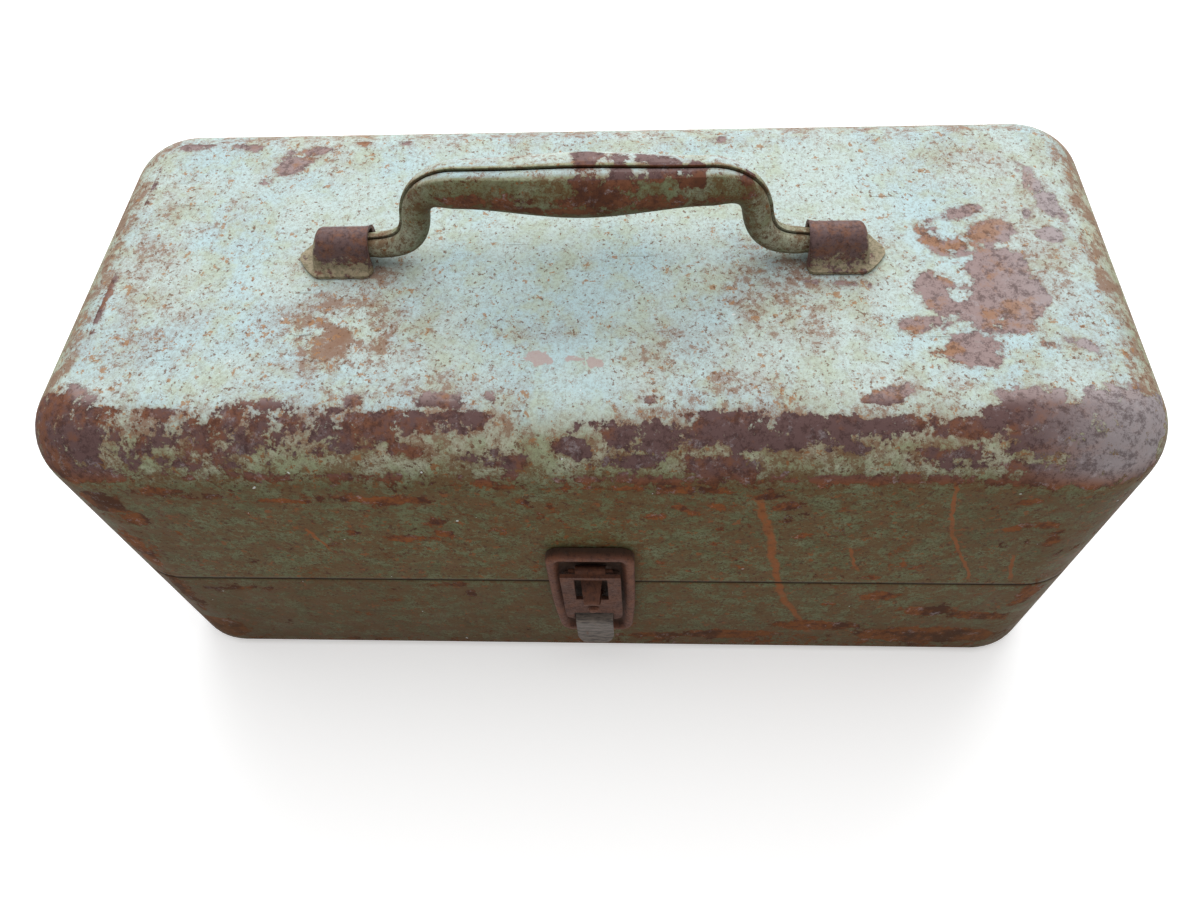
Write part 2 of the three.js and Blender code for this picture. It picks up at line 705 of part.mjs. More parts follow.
function makeLinkage() {
  const armInner = trayHalfLength + ARM_GAP;
  const armOuter = armInner + ARM_SHEET;
  const wallInner = halfLength - SHEET;
  const outerFace = halfLength + TOUCH_GAP;
  const trayInside = trayHalfLength - SHEET - TOUCH_GAP;
  for (const side of sides) {
    const { name, sign } = side;
    makeArm(side);

    const baseStart = armInner - TOUCH_GAP;
    const baseRivet = rivetAlongX(sign, baseStart, outerFace - baseStart, armBasePivot.y, armBasePivot.z);
    addPiece(`arm_base_rivet_${name}`, baseRivet, wornSteel);
    const armSpacer = [sign * (armOuter + TOUCH_GAP), sign * (wallInner - TOUCH_GAP)];
    const spacer = ring(SPACER_RADIUS, holeRadius, ...armSpacer, armBasePivot.y, armBasePivot.z);
    addPiece(`arm_spacer_${name}`, spacer, wornSteel);

    const trayGrip = armOuter + TOUCH_GAP - trayInside;
    const { y, z } = armTrayPivot;
    const trayRivet = rivetAlongX(sign, trayInside, trayGrip, y, z, ARM_TRAY_HEAD_RADIUS);
    addPiece(`arm_tray_rivet_${name}`, trayRivet, wornSteel);

    const lidGrip = outerFace - trayInside;
    const lidRivet = rivetAlongX(sign, trayInside, lidGrip, lidTrayPivot.y, lidTrayPivot.z);
    addPiece(`lid_tray_rivet_${name}`, lidRivet, wornSteel);
    const trayFaces = [sign * (trayHalfLength + TOUCH_GAP), sign * (wallInner - TOUCH_GAP)];
    const traySpacer = ring(SPACER_RADIUS, holeRadius, ...trayFaces, lidTrayPivot.y, lidTrayPivot.z);
    addPiece(`tray_spacer_${name}`, traySpacer, wornSteel);
  }
}

// ---------- handle ----------

// One half of the handle's middle line, from the middle of the grip to the end in its clip.
function handleHalfPath() {
  const at = (x, rise) => new THREE.Vector3(x, 0, handlePivotZ + rise);
  const path = new THREE.CurvePath();
  const splay = degrees(HANDLE_LEG_SPLAY);
  const legSlope = new THREE.Vector3(Math.sin(splay), 0, -Math.cos(splay));
  const gripEnd = at(HANDLE_GRIP_HALF, HANDLE_GRIP_END_RISE);
  const leg = at(HANDLE_LEG_X, HANDLE_LEG_RISE);
  const foot = at(HANDLE_FOOT_X, 0);
  const gripReach = HANDLE_GRIP_HALF / 2;
  const bendReach = HANDLE_LEG_RISE * HANDLE_BEND_SHARE;
  path.add(
    new THREE.CubicBezierCurve3(
      at(0, HANDLE_GRIP_RISE),
      at(gripReach, HANDLE_GRIP_RISE),
      at(HANDLE_GRIP_HALF - gripReach / 2, HANDLE_GRIP_END_RISE),
      gripEnd,
    ),
  );
  path.add(
    new THREE.CubicBezierCurve3(
      gripEnd,
      at(HANDLE_GRIP_HALF + bendReach * HANDLE_UPPER_BEND, HANDLE_GRIP_END_RISE),
      leg.clone().addScaledVector(legSlope, -bendReach),
      leg,
    ),
  );
  path.add(
    new THREE.CubicBezierCurve3(
      leg,
      leg.clone().addScaledVector(legSlope, bendReach * HANDLE_LOWER_BEND),
      at(HANDLE_FOOT_X - bendReach * HANDLE_FOOT_BEND, 0),
      foot,
    ),
  );
  path.add(new THREE.LineCurve3(foot, at(HANDLE_END_X, 0)));
  return path;
}

// Thickness at a point of the handle, from its distance along X from the middle.
function handleThickness(x) {
  const knots = [
    [0, HANDLE_GRIP_THICKNESS],
    [HANDLE_GRIP_HALF, HANDLE_GRIP_END_THICKNESS],
    [HANDLE_LEG_X, HANDLE_LEG_THICKNESS],
    [HANDLE_FOOT_X, HANDLE_END_THICKNESS],
    [HANDLE_END_X, HANDLE_END_THICKNESS],
  ];
  const next = Math.max(1, knots.findIndex(([knotX]) => knotX >= x));
  const [[x0, t0], [x1, t1]] = [knots[next - 1], knots[next]];
  return t0 + (t1 - t0) * THREE.MathUtils.smoothstep(x, x0, x1);
}

// An open-seamed tube: its section is a ring with a slit on the handle's outer edge.
function makeHandle() {
  const path = handleHalfPath();
  const half = Array.from({ length: HANDLE_STATIONS }, (_, i) => {
    const t = Math.min(i / (HANDLE_STATIONS - 1), 1);
    return { point: path.getPointAt(t), tangent: path.getTangentAt(t) };
  });
  const mirrored = half
    .slice(1)
    .reverse()
    .map(({ point, tangent }) => ({
      point: new THREE.Vector3(-point.x, point.y, point.z),
      tangent: new THREE.Vector3(tangent.x, tangent.y, -tangent.z),
    }));
  const stations = [...mirrored, ...half].map(({ point, tangent }) => {
    const outward = new THREE.Vector3(-tangent.z, 0, tangent.x);
    const radius = handleThickness(Math.abs(point.x)) / 2;
    const line = (r) =>
      Array.from({ length: HANDLE_SECTION_POINTS }, (_, i) => {
        const share = i / (HANDLE_SECTION_POINTS - 1);
        const from = HANDLE_SEAM_ANGLE + HANDLE_SEAM_HALF_ANGLE;
        const angle = degrees(from + share * (360 - 2 * HANDLE_SEAM_HALF_ANGLE));
        const place = point.clone().addScaledVector(outward, r * Math.cos(angle));
        return [place.x, -r * Math.sin(angle), place.z];
      });
    return { outer: line(radius), inner: line(radius - HANDLE_SHEET) };
  });
  addPiece("handle", bentSheet(stations), greenPaint);
}

// A clip is a strap bulged over the handle's end, with a flat edge each side and a pointed end.
function makeClip({ name, sign }) {
  const lidFace = HEIGHT + TOUCH_GAP;
  const bulgeSteps = 8;
  const station = (x) => {
    const closing = THREE.MathUtils.clamp((x - CLIP_SHOULDER_X) / (CLIP_CLOSED_X - CLIP_SHOULDER_X), 0, 1);
    const height = Math.sqrt(1 - closing ** 2);
    const narrowing = THREE.MathUtils.clamp((x - CLIP_CLOSED_X) / (CLIP_TIP_X - CLIP_CLOSED_X), 0, 1);
    const halfWidth = THREE.MathUtils.lerp(CLIP_HALF_WIDTH, CLIP_TIP_HALF_WIDTH, narrowing);
    const squeeze = halfWidth / CLIP_HALF_WIDTH;
    const line = (radius, base) => {
      const rise = (HANDLE_PIVOT_RISE - TOUCH_GAP) * height;
      const bulge = Array.from({ length: bulgeSteps + 1 }, (_, i) => {
        const angle = degrees(180 - (180 * i) / bulgeSteps);
        const up = Math.max(base, rise + radius * Math.sin(angle) * height);
        return [radius * Math.cos(angle) * squeeze, up];
      });
      const points = [
        [-halfWidth, base],
        [-radius * squeeze, base],
        ...bulge,
        [radius * squeeze, base],
        [halfWidth, base],
      ];
      return points.map(([y, up]) => [sign * x, y, lidFace + up]);
    };
    return { outer: line(clipBulgeInner + CLIP_SHEET, CLIP_SHEET), inner: line(clipBulgeInner, 0) };
  };
  const closingSteps = 5;
  const xs = [CLIP_INNER_X, CLIP_SHOULDER_X];
  for (let i = 1; i <= closingSteps; i += 1) {
    const share = Math.sin(degrees((90 * i) / closingSteps));
    xs.push(CLIP_SHOULDER_X + share * (CLIP_CLOSED_X - CLIP_SHOULDER_X));
  }
  xs.push(CLIP_TIP_X);
  addPiece(`handle_clip_${name}`, bentSheet(xs.map(station)), rustySteel);
}

// ---------- latch ----------

function taperLatch(geometry) {
  const position = geometry.attributes.position;
  for (let i = 0; i < position.count; i += 1) {
    const below = Math.max(0, SEAM_HEIGHT - position.getZ(i)) / -LATCH_BOTTOM;
    position.setX(i, position.getX(i) * (1 - LATCH_TAPER * below ** 2));
  }
  return geometry;
}

// A line of [inset, height] points moved to its left by a distance, with mitred corners.
function offsetLine(points, distance) {
  const legs = points
    .slice(1)
    .map(([x, y], i) => new THREE.Vector2(x - points[i][0], y - points[i][1]).normalize());
  return points.map(([x, y], i) => {
    const before = legs[Math.max(i - 1, 0)];
    const after = legs[Math.min(i, legs.length - 1)];
    const along = before.clone().add(after).normalize();
    const reach = distance / along.dot(before);
    return [x - along.y * reach, y + along.x * reach];
  });
}

const latchPinBore = () =>
  barAlongX(
    LATCH_PIN_RADIUS + LATCH_PIN_CLEARANCE,
    -LEVER_HALF_WIDTH,
    LEVER_HALF_WIDTH,
    latchPivot.y,
    latchPivot.z,
    12,
  );

// The pan has a raised round border and a recessed floor, two lugs for the lever's pin,
// and a slot at the bottom that lets it lift off the keeper.
function makeLatchPan() {
  const [top, floor] = [LATCH_BORDER_OUT, LATCH_FLOOR_OUT];
  const floorInset = LATCH_BORDER_WIDTH + LATCH_FLOOR_EDGE;
  const slopeFoot = LATCH_SLOPE_FOOT;
  const front = [
    [floorInset, floor],
    [LATCH_BORDER_WIDTH + slopeFoot.inset, floor],
    [LATCH_BORDER_WIDTH - slopeFoot.inset, floor + slopeFoot.rise],
    [LATCH_BORDER_ROUND + LATCH_BORDER_CREST, top],
    [LATCH_BORDER_ROUND, top],
    [0, top - LATCH_BORDER_ROUND],
    [0, TOUCH_GAP],
  ];
  const section = [...front, ...offsetLine(front, LATCH_SHEET).reverse()];
  const pan = pressedPan(section, {
    left: -LATCH_HALF_WIDTH,
    right: LATCH_HALF_WIDTH,
    front: SEAM_HEIGHT + LATCH_BOTTOM,
    back: SEAM_HEIGHT + LATCH_TOP,
    radius: LATCH_CORNER_RADIUS,
  });
  // From lying flat to standing against the front wall, facing forward.
  pan.rotateX(Math.PI / 2);
  pan.translate(0, wallFront, 0);
  taperLatch(pan);

  const { y, z } = latchPivot;
  const floorFace = wallFront - LATCH_FLOOR_OUT;
  const lugs = sides.flatMap(({ sign }) => {
    const [x0, x1] = [LATCH_LUG_INNER, LATCH_LUG_OUTER].map((x) => sign * x).sort((a, b) => a - b);
    return [
      barAlongX(LATCH_LUG_RADIUS, x0, x1, y, z, SMALL_BAR_SIDES),
      block([x0, y, z - LATCH_LUG_RADIUS], [x1, floorFace + LATCH_LUG_ROOT, z + LATCH_LUG_RADIUS]),
    ];
  });
  const slot = block(
    [-KEEPER_SLOT_HALF, wallFront - LATCH_BORDER_OUT - 1, SEAM_HEIGHT + LATCH_BOTTOM - 1],
    [KEEPER_SLOT_HALF, wallFront + 1, SEAM_HEIGHT + KEEPER_SLOT_TOP],
  );
  const holes = sides.map(({ sign }) =>
    drillAlongY(wallFront, sign * LATCH_RIVET_X, SEAM_HEIGHT + LATCH_RIVET_RISE),
  );
  addPiece("latch_pan", cut(join(pan, lugs), [latchPinBore(), slot, ...holes]), rustySteel);

  const start = wallFront + SHEET + TOUCH_GAP;
  const grip = start - floorFace + TOUCH_GAP;
  for (const { name, sign } of sides) {
    const [rivetX, rivetZ] = [sign * LATCH_RIVET_X, SEAM_HEIGHT + LATCH_RIVET_RISE];
    const rivet = rivetAlongY(-1, start, grip, rivetX, rivetZ, LATCH_RIVET_HEAD_RADIUS);
    addPiece(`latch_pan_rivet_${name}`, rivet, rustySteel);
  }
  const pinHalf = LATCH_LUG_OUTER + LATCH_PIN_OVERHANG;
  addPiece("latch_pin", barAlongX(LATCH_PIN_RADIUS, -pinHalf, pinHalf, y, z, SMALL_BAR_SIDES), wornSteel);
}

// A curved strip in the Y-Z plane: places are [out from the wall, rise above the seam].
function strip(places, halfWidths, thickness) {
  const stations = places.map(([out, rise], i) => {
    const before = places[Math.max(i - 1, 0)];
    const after = places[Math.min(i + 1, places.length - 1)];
    const along = new THREE.Vector2(after[0] - before[0], after[1] - before[1]).normalize();
    const [normalOut, normalRise] = [along.y, -along.x];
    const line = (offset) =>
      [-1, 1].map((way) => [
        way * halfWidths[i],
        wallFront - out - normalOut * offset,
        SEAM_HEIGHT + rise + normalRise * offset,
      ]);
    return { outer: line(thickness / 2), inner: line(-thickness / 2) };
  });
  return bentSheet(stations);
}

// Evenly spaced places along straight and curved runs, each a list of 2 or 4 [out, rise] points.
function spacedPlaces(runs, steps) {
  const path = new THREE.CurvePath();
  for (const run of runs) {
    const points = run.map(([out, rise]) => new THREE.Vector2(out, rise));
    path.add(points.length === 2 ? new THREE.LineCurve(...points) : new THREE.CubicBezierCurve(...points));
  }
  return path.getSpacedPoints(steps).map((point) => [point.x, point.y]);
}

// The staple stands out from the pan's floor through the lever's window. It is a strip folded
// at its nose, and both its legs grow wider towards the pan.
function makeStaple() {
  const foot = LATCH_FLOOR_OUT + TOUCH_GAP + STAPLE_SHEET / 2;
  const [nose, rise] = [STAPLE_NOSE_OUT - STAPLE_SHEET / 2, STAPLE_NOSE_RISE];
  const legReach = (nose - foot) / 2;
  const noseRadius = STAPLE_NOSE_RADIUS;
  const upperEnd = [nose - noseRadius / 2, rise + noseRadius];
  const lowerEnd = [nose - noseRadius, rise - noseRadius];
  const places = spacedPlaces(
    [
      [[foot, STAPLE_TOP], [foot, STAPLE_SHOULDER]],
      [
        [foot, STAPLE_SHOULDER],
        [foot, STAPLE_SHOULDER - STAPLE_ROOT_PULL],
        [foot + legReach, upperEnd[1] + legReach],
        upperEnd,
      ],
      [upperEnd, [nose + noseRadius / 2, rise], [nose, rise - noseRadius], lowerEnd],
      [
        lowerEnd,
        [foot + legReach, lowerEnd[1] - 0.5],
        [foot, STAPLE_HEEL + STAPLE_ROOT_PULL],
        [foot, STAPLE_HEEL],
      ],
      [[foot, STAPLE_HEEL], [foot, STAPLE_BOTTOM]],
    ],
    STAPLE_STEPS,
  );
  const last = places.length - 1;
  const halfWidths = places.map((_, i) =>
    THREE.MathUtils.lerp(STAPLE_HALF_NOSE, STAPLE_HALF_ROOT, Math.abs((2 * i) / last - 1)),
  );
  addPiece("latch_staple", strip(places, halfWidths, STAPLE_SHEET), rustySteel);
}

function makeLever() {
  const { y, z } = latchPivot;
  const back = wallFront - LEVER_BACK_OUT;
  const outline = new THREE.Shape();
  const [half, corner, notch] = [LEVER_HALF_WIDTH, LEVER_CORNER_RADIUS, LEVER_NOTCH_HALF];
  const [top, bottom] = [SEAM_HEIGHT + LEVER_TOP, SEAM_HEIGHT + LEVER_BOTTOM];
  const notchTop = SEAM_HEIGHT + LEVER_NOTCH_TOP;
  outline.moveTo(-half, top);
  outline.lineTo(-half, bottom + corner);
  outline.absarc(-half + corner, bottom + corner, corner, Math.PI, 1.5 * Math.PI - degrees(15));
  outline.lineTo(-notch, bottom);
  outline.lineTo(-notch, notchTop);
  outline.lineTo(notch, notchTop);
  outline.lineTo(notch, bottom);
  outline.absarc(half - corner, bottom + corner, corner, 1.5 * Math.PI + degrees(15), 2 * Math.PI);
  outline.lineTo(half, top);
  outline.closePath();
  const plate = new THREE.ExtrudeGeometry(outline, {
    depth: LEVER_SHEET,
    bevelEnabled: false,
    curveSegments: 5,
  });
  plate.rotateX(Math.PI / 2);
  plate.translate(0, back, 0);
  const knuckle = barAlongX(LEVER_KNUCKLE_RADIUS, -LEVER_KNUCKLE_HALF, LEVER_KNUCKLE_HALF, y, z, 16);
  const windowCut = block(
    [-LEVER_WINDOW_HALF, back - LEVER_SHEET - 1, SEAM_HEIGHT + LEVER_WINDOW_BOTTOM],
    [LEVER_WINDOW_HALF, back + 1, SEAM_HEIGHT + LEVER_WINDOW_TOP],
  );
  const rivetHole = tabRivetHole(LEVER_BACK_OUT + LEVER_SHEET / 2);
  const cutPlate = cut(plate, [windowCut, rivetHole]);
  addPiece("latch_lever", cut(join(cutPlate, [knuckle]), [latchPinBore()]), rustySteel);
}

// The tab rivet's hole through a sheet whose middle is this far out from the wall.
function tabRivetHole(out) {
  const middle = wallFront - out;
  const radius = TAB_RIVET_RADIUS + HOLE_CLEARANCE;
  return barAlongY(radius, middle - 2, middle + 2, 0, SEAM_HEIGHT + TAB_RIVET_RISE, SMALL_BAR_SIDES);
}

// The thumb tab turns forward through the lever's notch and hangs down in front.
function makeThumbTab() {
  const foot = LEVER_BACK_OUT - TOUCH_GAP - TAB_SHEET / 2;
  const face = TAB_FACE_OUT;
  const pull = TAB_BEND_PULL * (TAB_BEND - TAB_FACE_TOP);
  const [curlStart, curlEnd] = TAB_CURL_PULL;
  const places = spacedPlaces(
    [
      [[foot, TAB_TOP], [foot, TAB_BEND]],
      [[foot, TAB_BEND], [foot, TAB_BEND - pull], [face, TAB_FACE_TOP + pull], [face, TAB_FACE_TOP]],
      [
        [face, TAB_FACE_TOP],
        [face, TAB_FACE_TOP - curlStart],
        [face, TAB_TIP_RISE + curlEnd],
        [TAB_TIP_OUT, TAB_TIP_RISE],
      ],
    ],
    TAB_STEPS,
  );
  const last = places.length - 1;
  const halfWidths = places.map((_, i) => {
    const pastShoulder = Math.max(0, (i / last - 1) / TAB_ROUNDED_SHARE + 1);
    return THREE.MathUtils.lerp(TAB_HALF_WIDTH, TAB_HALF_TIP, pastShoulder ** 2);
  });
  addPiece("latch_thumb_tab", cut(strip(places, halfWidths, TAB_SHEET), [tabRivetHole(foot)]), wornSteel);
  const start = wallFront - foot + TAB_SHEET / 2 + TOUCH_GAP;
  const grip = TAB_SHEET + LEVER_SHEET + 3 * TOUCH_GAP;
  const rivetZ = SEAM_HEIGHT + TAB_RIVET_RISE;
  const rivet = rivetAlongY(-1, start, grip, 0, rivetZ, TAB_RIVET_HEAD_RADIUS, TAB_RIVET_RADIUS);
  addPiece("latch_tab_rivet", rivet, rustySteel);
}

// The keeper stands on the base's front wall, inside the pan's slot.
function makeKeeper() {
  const back = wallFront - TOUCH_GAP;
  const [top, bottom] = [SEAM_HEIGHT + KEEPER_TOP, SEAM_HEIGHT + KEEPER_BOTTOM];
  const plate = block([-KEEPER_HALF_WIDTH, back - KEEPER_SHEET, bottom], [KEEPER_HALF_WIDTH, back, top]);
  const lip = block(
    [-KEEPER_HALF_WIDTH, back - KEEPER_SHEET - KEEPER_LIP, top - KEEPER_LIP_HEIGHT],
    [KEEPER_HALF_WIDTH, back - KEEPER_SHEET / 2, top],
  );
  const rivetZ = SEAM_HEIGHT + KEEPER_RIVET_RISE;
  addPiece("latch_keeper", cut(join(plate, [lip]), [drillAlongY(wallFront, 0, rivetZ)]), rustySteel);
  const start = wallFront + SHEET + TOUCH_GAP;
  const grip = SHEET + KEEPER_SHEET + 3 * TOUCH_GAP;
  const rivet = rivetAlongY(-1, start, grip, 0, rivetZ, LATCH_RIVET_HEAD_RADIUS);
  addPiece("latch_keeper_rivet", rivet, rustySteel);
}

makeBase();
makeLid();
makeHinges();
makeTray();
makeDividers();
makeLinkage();
makeHandle();
sides.forEach(makeClip);
makeLatchPan();
makeStaple();
makeLever();
makeThumbTab();
makeKeeper();

export default toolbox;
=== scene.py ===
"""A worn green steel toolbox with a lift-up tray: its looks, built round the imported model.

Lengths in this file are in millimetres until a mesh is made; Blender works in metres.
X runs along the front, Y to the back and Z up, with the origin under the middle of the box.
"""
import functools
import math

import bmesh
import bpy
import numpy as np
from mathutils import Matrix, Vector, noise


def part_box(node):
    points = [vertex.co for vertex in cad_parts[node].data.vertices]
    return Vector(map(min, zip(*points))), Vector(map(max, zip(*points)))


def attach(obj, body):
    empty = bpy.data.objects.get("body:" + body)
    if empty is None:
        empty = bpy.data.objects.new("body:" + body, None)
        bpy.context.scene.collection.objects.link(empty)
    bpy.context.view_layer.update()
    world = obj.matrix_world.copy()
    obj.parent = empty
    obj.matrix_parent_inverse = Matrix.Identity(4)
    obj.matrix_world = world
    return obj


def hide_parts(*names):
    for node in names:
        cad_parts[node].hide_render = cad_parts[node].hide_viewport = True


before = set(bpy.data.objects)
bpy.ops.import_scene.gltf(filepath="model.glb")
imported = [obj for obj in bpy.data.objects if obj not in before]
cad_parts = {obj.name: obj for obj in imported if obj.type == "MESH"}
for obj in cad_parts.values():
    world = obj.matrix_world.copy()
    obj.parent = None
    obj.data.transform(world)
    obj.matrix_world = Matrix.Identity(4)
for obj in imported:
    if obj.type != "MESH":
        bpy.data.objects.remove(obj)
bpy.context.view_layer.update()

MM = 0.001


# ---------------- sizes

def corners_mm(node):
    """A CAD node's lowest and highest corner, in millimetres."""
    low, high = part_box(node)
    return np.array(low) / MM, np.array(high) / MM


LID_LOW, LID_HIGH = corners_mm("lid_shell")
TRAY_LOW, TRAY_HIGH = corners_mm("tray_shell")
CLIP_LOW, CLIP_HIGH = corners_mm("handle_clip_right")
PAN_LOW, PAN_HIGH = corners_mm("latch_pan")

HALF_LENGTH = LID_HIGH[0]
HALF_DEPTH = LID_HIGH[1]
HEIGHT = LID_HIGH[2]
SEAM = LID_LOW[2]
SHEET = 1.0
PLAN_RADIUS = 29.0
TOP_RADIUS = 25.0
BOTTOM_RADIUS = 8.0
TOUCH_GAP = 0.3
RIM_CLEARANCE = 0.35
RIM_SHELF = 1.2
WALL_TOP = HEIGHT - TOP_RADIUS
WALL_FRONT = -HALF_DEPTH
MESH_STEP = 2.4  # spacing of points on the large sheets
COARSE_STEP = 5.0  # the same on their inner faces
SMALLEST_CORNER = 1.5
FLAT_MIDDLE = 2.5  # half the width of the one long face in the middle of a pan's floor


# ---------------- small helpers

def smooth(x, low, high):
    """0 below low, 1 above high and a smooth rise between."""
    t = np.clip((x - low) / (high - low), 0, 1)
    return t * t * (3 - 2 * t)


def wave_noise(points, size, seed):
    """Smooth noise between about -1 and 1, with features of the given size in millimetres."""
    offset = Vector((seed * 17.3, seed * 5.1, seed * 9.7))
    return np.array([noise.noise(Vector(p) / size + offset) for p in points])


def mesh_object(name, points, faces):
    """A mesh from points in millimetres."""
    mesh = bpy.data.meshes.new(name)
    mesh.from_pydata((np.asarray(points, float) * MM).tolist(), [], [list(f) for f in faces])
    mesh.validate()
    mesh.shade_smooth()
    obj = bpy.data.objects.new(name, mesh)
    bpy.context.scene.collection.objects.link(obj)
    return obj


def face_out(obj):
    """Turns the faces of a closed mesh outward."""
    bm = bmesh.new()
    bm.from_mesh(obj.data)
    bmesh.ops.recalc_face_normals(bm, faces=bm.faces)
    bm.to_mesh(obj.data)
    bm.free()


def sharpen(obj, angle):
    """Smooth shading that breaks at edges sharper than the angle."""
    obj.data.shade_smooth()
    bm = bmesh.new()
    bm.from_mesh(obj.data)
    for edge in bm.edges:
        edge.smooth = edge.calc_face_angle(0) < math.radians(angle)
    bm.to_mesh(obj.data)
    bm.free()


def bevel(obj, width):
    """Rounds the corners of a piece by the given width in millimetres."""
    modifier = obj.modifiers.new("edges", "BEVEL")
    modifier.width = width * MM
    modifier.segments = 2
    modifier.limit_method = "ANGLE"
    modifier.angle_limit = math.radians(30)


def carve(obj, cutter):
    """Cuts a closed object out of obj, and removes it."""
    modifier = obj.modifiers.new("cut", "BOOLEAN")
    modifier.object = cutter
    modifier.operation = "DIFFERENCE"
    modifier.solver = "EXACT"
    graph = bpy.context.evaluated_depsgraph_get()
    mesh = bpy.data.meshes.new_from_object(obj.evaluated_get(graph))
    obj.modifiers.clear()
    obj.data = mesh
    bpy.data.objects.remove(cutter)


def box_object(low, high):
    """A box that cuts; it isn't kept."""
    (x0, y0, z0), (x1, y1, z1) = low, high
    points = [(x, y, z) for x in (x0, x1) for y in (y0, y1) for z in (z0, z1)]
    faces = [(0, 1, 3, 2), (4, 6, 7, 5), (0, 4, 5, 1), (2, 3, 7, 6), (0, 2, 6, 4), (1, 5, 7, 3)]
    return mesh_object("cutter", points, faces)


def ring_faces(ring_count, ring_size):
    """Faces between closed rings of points that follow each other."""
    faces = []
    for ring in range(ring_count - 1):
        a, b = ring * ring_size, (ring + 1) * ring_size
        for i in range(ring_size):
            j = (i + 1) % ring_size
            faces.append((a + i, a + j, b + j, b + i))
    return faces


def sheet_object(name, sections, sharp_angle):
    """A strip of sheet from its cross-sections, each an outer and an inner row of points."""
    row = len(sections[0][0])
    size = 2 * row
    points = [point for outer, inner in sections for point in outer + inner[::-1]]
    faces = ring_faces(len(sections), size)
    for start in (0, len(points) - size):
        for i in range(row - 1):
            j = size - 1 - i
            faces.append((start + i, start + i + 1, start + j - 1, start + j))
    obj = mesh_object(name, points, faces)
    face_out(obj)
    sharpen(obj, sharp_angle)
    return obj


def set_fields(obj, **fields):
    """Gives the mesh's points named numbers, which the materials read."""
    for name, values in fields.items():
        layer = obj.data.attributes.new(name, "FLOAT", "POINT")
        spread = np.broadcast_to(np.asarray(values, np.float32), len(obj.data.vertices))
        layer.data.foreach_set("value", np.ascontiguousarray(spread))


def vertex_values(obj, kind):
    flat = np.zeros(len(obj.data.vertices) * 3)
    obj.data.vertices.foreach_get(kind, flat)
    return flat.reshape(-1, 3)


def points_mm(obj):
    return vertex_values(obj, "co") / MM


def normals_of(obj):
    return vertex_values(obj, "normal")


def move_points(obj, points):
    """Moves a mesh's points to new places in millimetres."""
    obj.data.vertices.foreach_set("co", (points * MM).ravel())
    obj.data.update()


# ---------------- pressed sheet pans

def arc(centre_u, centre_v, radius, start, end, steps):
    """Points on an arc from start to end, in degrees."""
    angles = [math.radians(start + (end - start) * i / steps) for i in range(steps + 1)]
    return [(centre_u + radius * math.cos(a), centre_v + radius * math.sin(a)) for a in angles]


def points_between(first, last, count):
    """Points that divide the line from first to last into count parts, without its ends."""
    shares = [i / count for i in range(1, count)]
    return [tuple(a + (b - a) * share for a, b in zip(first, last)) for share in shares]


def plan_ring(half_x, half_y, radius, steps, side_counts):
    """A rounded rectangle whose straight sides are divided too, as a list of (x, y)."""
    cx, cy = half_x - radius, half_y - radius
    corners = []
    for k, (x, y) in enumerate([(cx, cy), (-cx, cy), (-cx, -cy), (cx, -cy)]):
        corners.append(arc(x, y, radius, 90 * k, 90 * k + 90, steps))
    ring = []
    for k, corner in enumerate(corners):
        ring += corner + points_between(corner[-1], corners[(k + 1) % 4][0], side_counts[k % 2])
    return ring


def pan_object(name, section, half_x, half_y, radius, centre_y=0.0, steps=14, step=MESH_STEP):
    """A pressed pan: a section of (inset, height) points carried round a rounded rectangle."""
    side_counts = [max(2, round(2 * (half - radius) / step)) for half in (half_x, half_y)]
    points = []
    for inset, height in section:
        corner = max(radius - inset, SMALLEST_CORNER)
        ring = plan_ring(half_x - inset, half_y - inset, corner, steps, side_counts)
        points.extend((x, y + centre_y, height) for x, y in ring)
    size = len(points) // len(section)
    faces = ring_faces(len(section), size)
    faces.append(tuple(reversed(range(size))))
    faces.append(tuple(range(len(points) - size, len(points))))
    obj = mesh_object(name, points, faces)
    face_out(obj)
    return obj


def fill_section(corners, step):
    """The section's corner points with points added along its long straight stretches."""
    filled = [corners[0]]
    for first, last in zip(corners, corners[1:]):
        count = max(1, math.ceil(math.dist(first, last) / step))
        filled += points_between(first, last, count) + [last]
    return filled


def lid_object():
    deep = HALF_DEPTH - FLAT_MIDDLE
    cut = 0.25
    outside = [(deep, HEIGHT), *arc(TOP_RADIUS, WALL_TOP, TOP_RADIUS, 90, 180, 18)]
    outside += [(0, SEAM + cut), (cut, SEAM)]
    inside = [(SHEET - cut, SEAM), (SHEET, SEAM + cut), (SHEET, WALL_TOP)]
    inside += arc(TOP_RADIUS, WALL_TOP, TOP_RADIUS - SHEET, 180, 90, 10)[1:]
    inside += [(deep, HEIGHT - SHEET)]
    section = fill_section(outside, MESH_STEP) + fill_section(inside, COARSE_STEP)
    return pan_object("lid_sheet", section, HALF_LENGTH, HALF_DEPTH, PLAN_RADIUS)


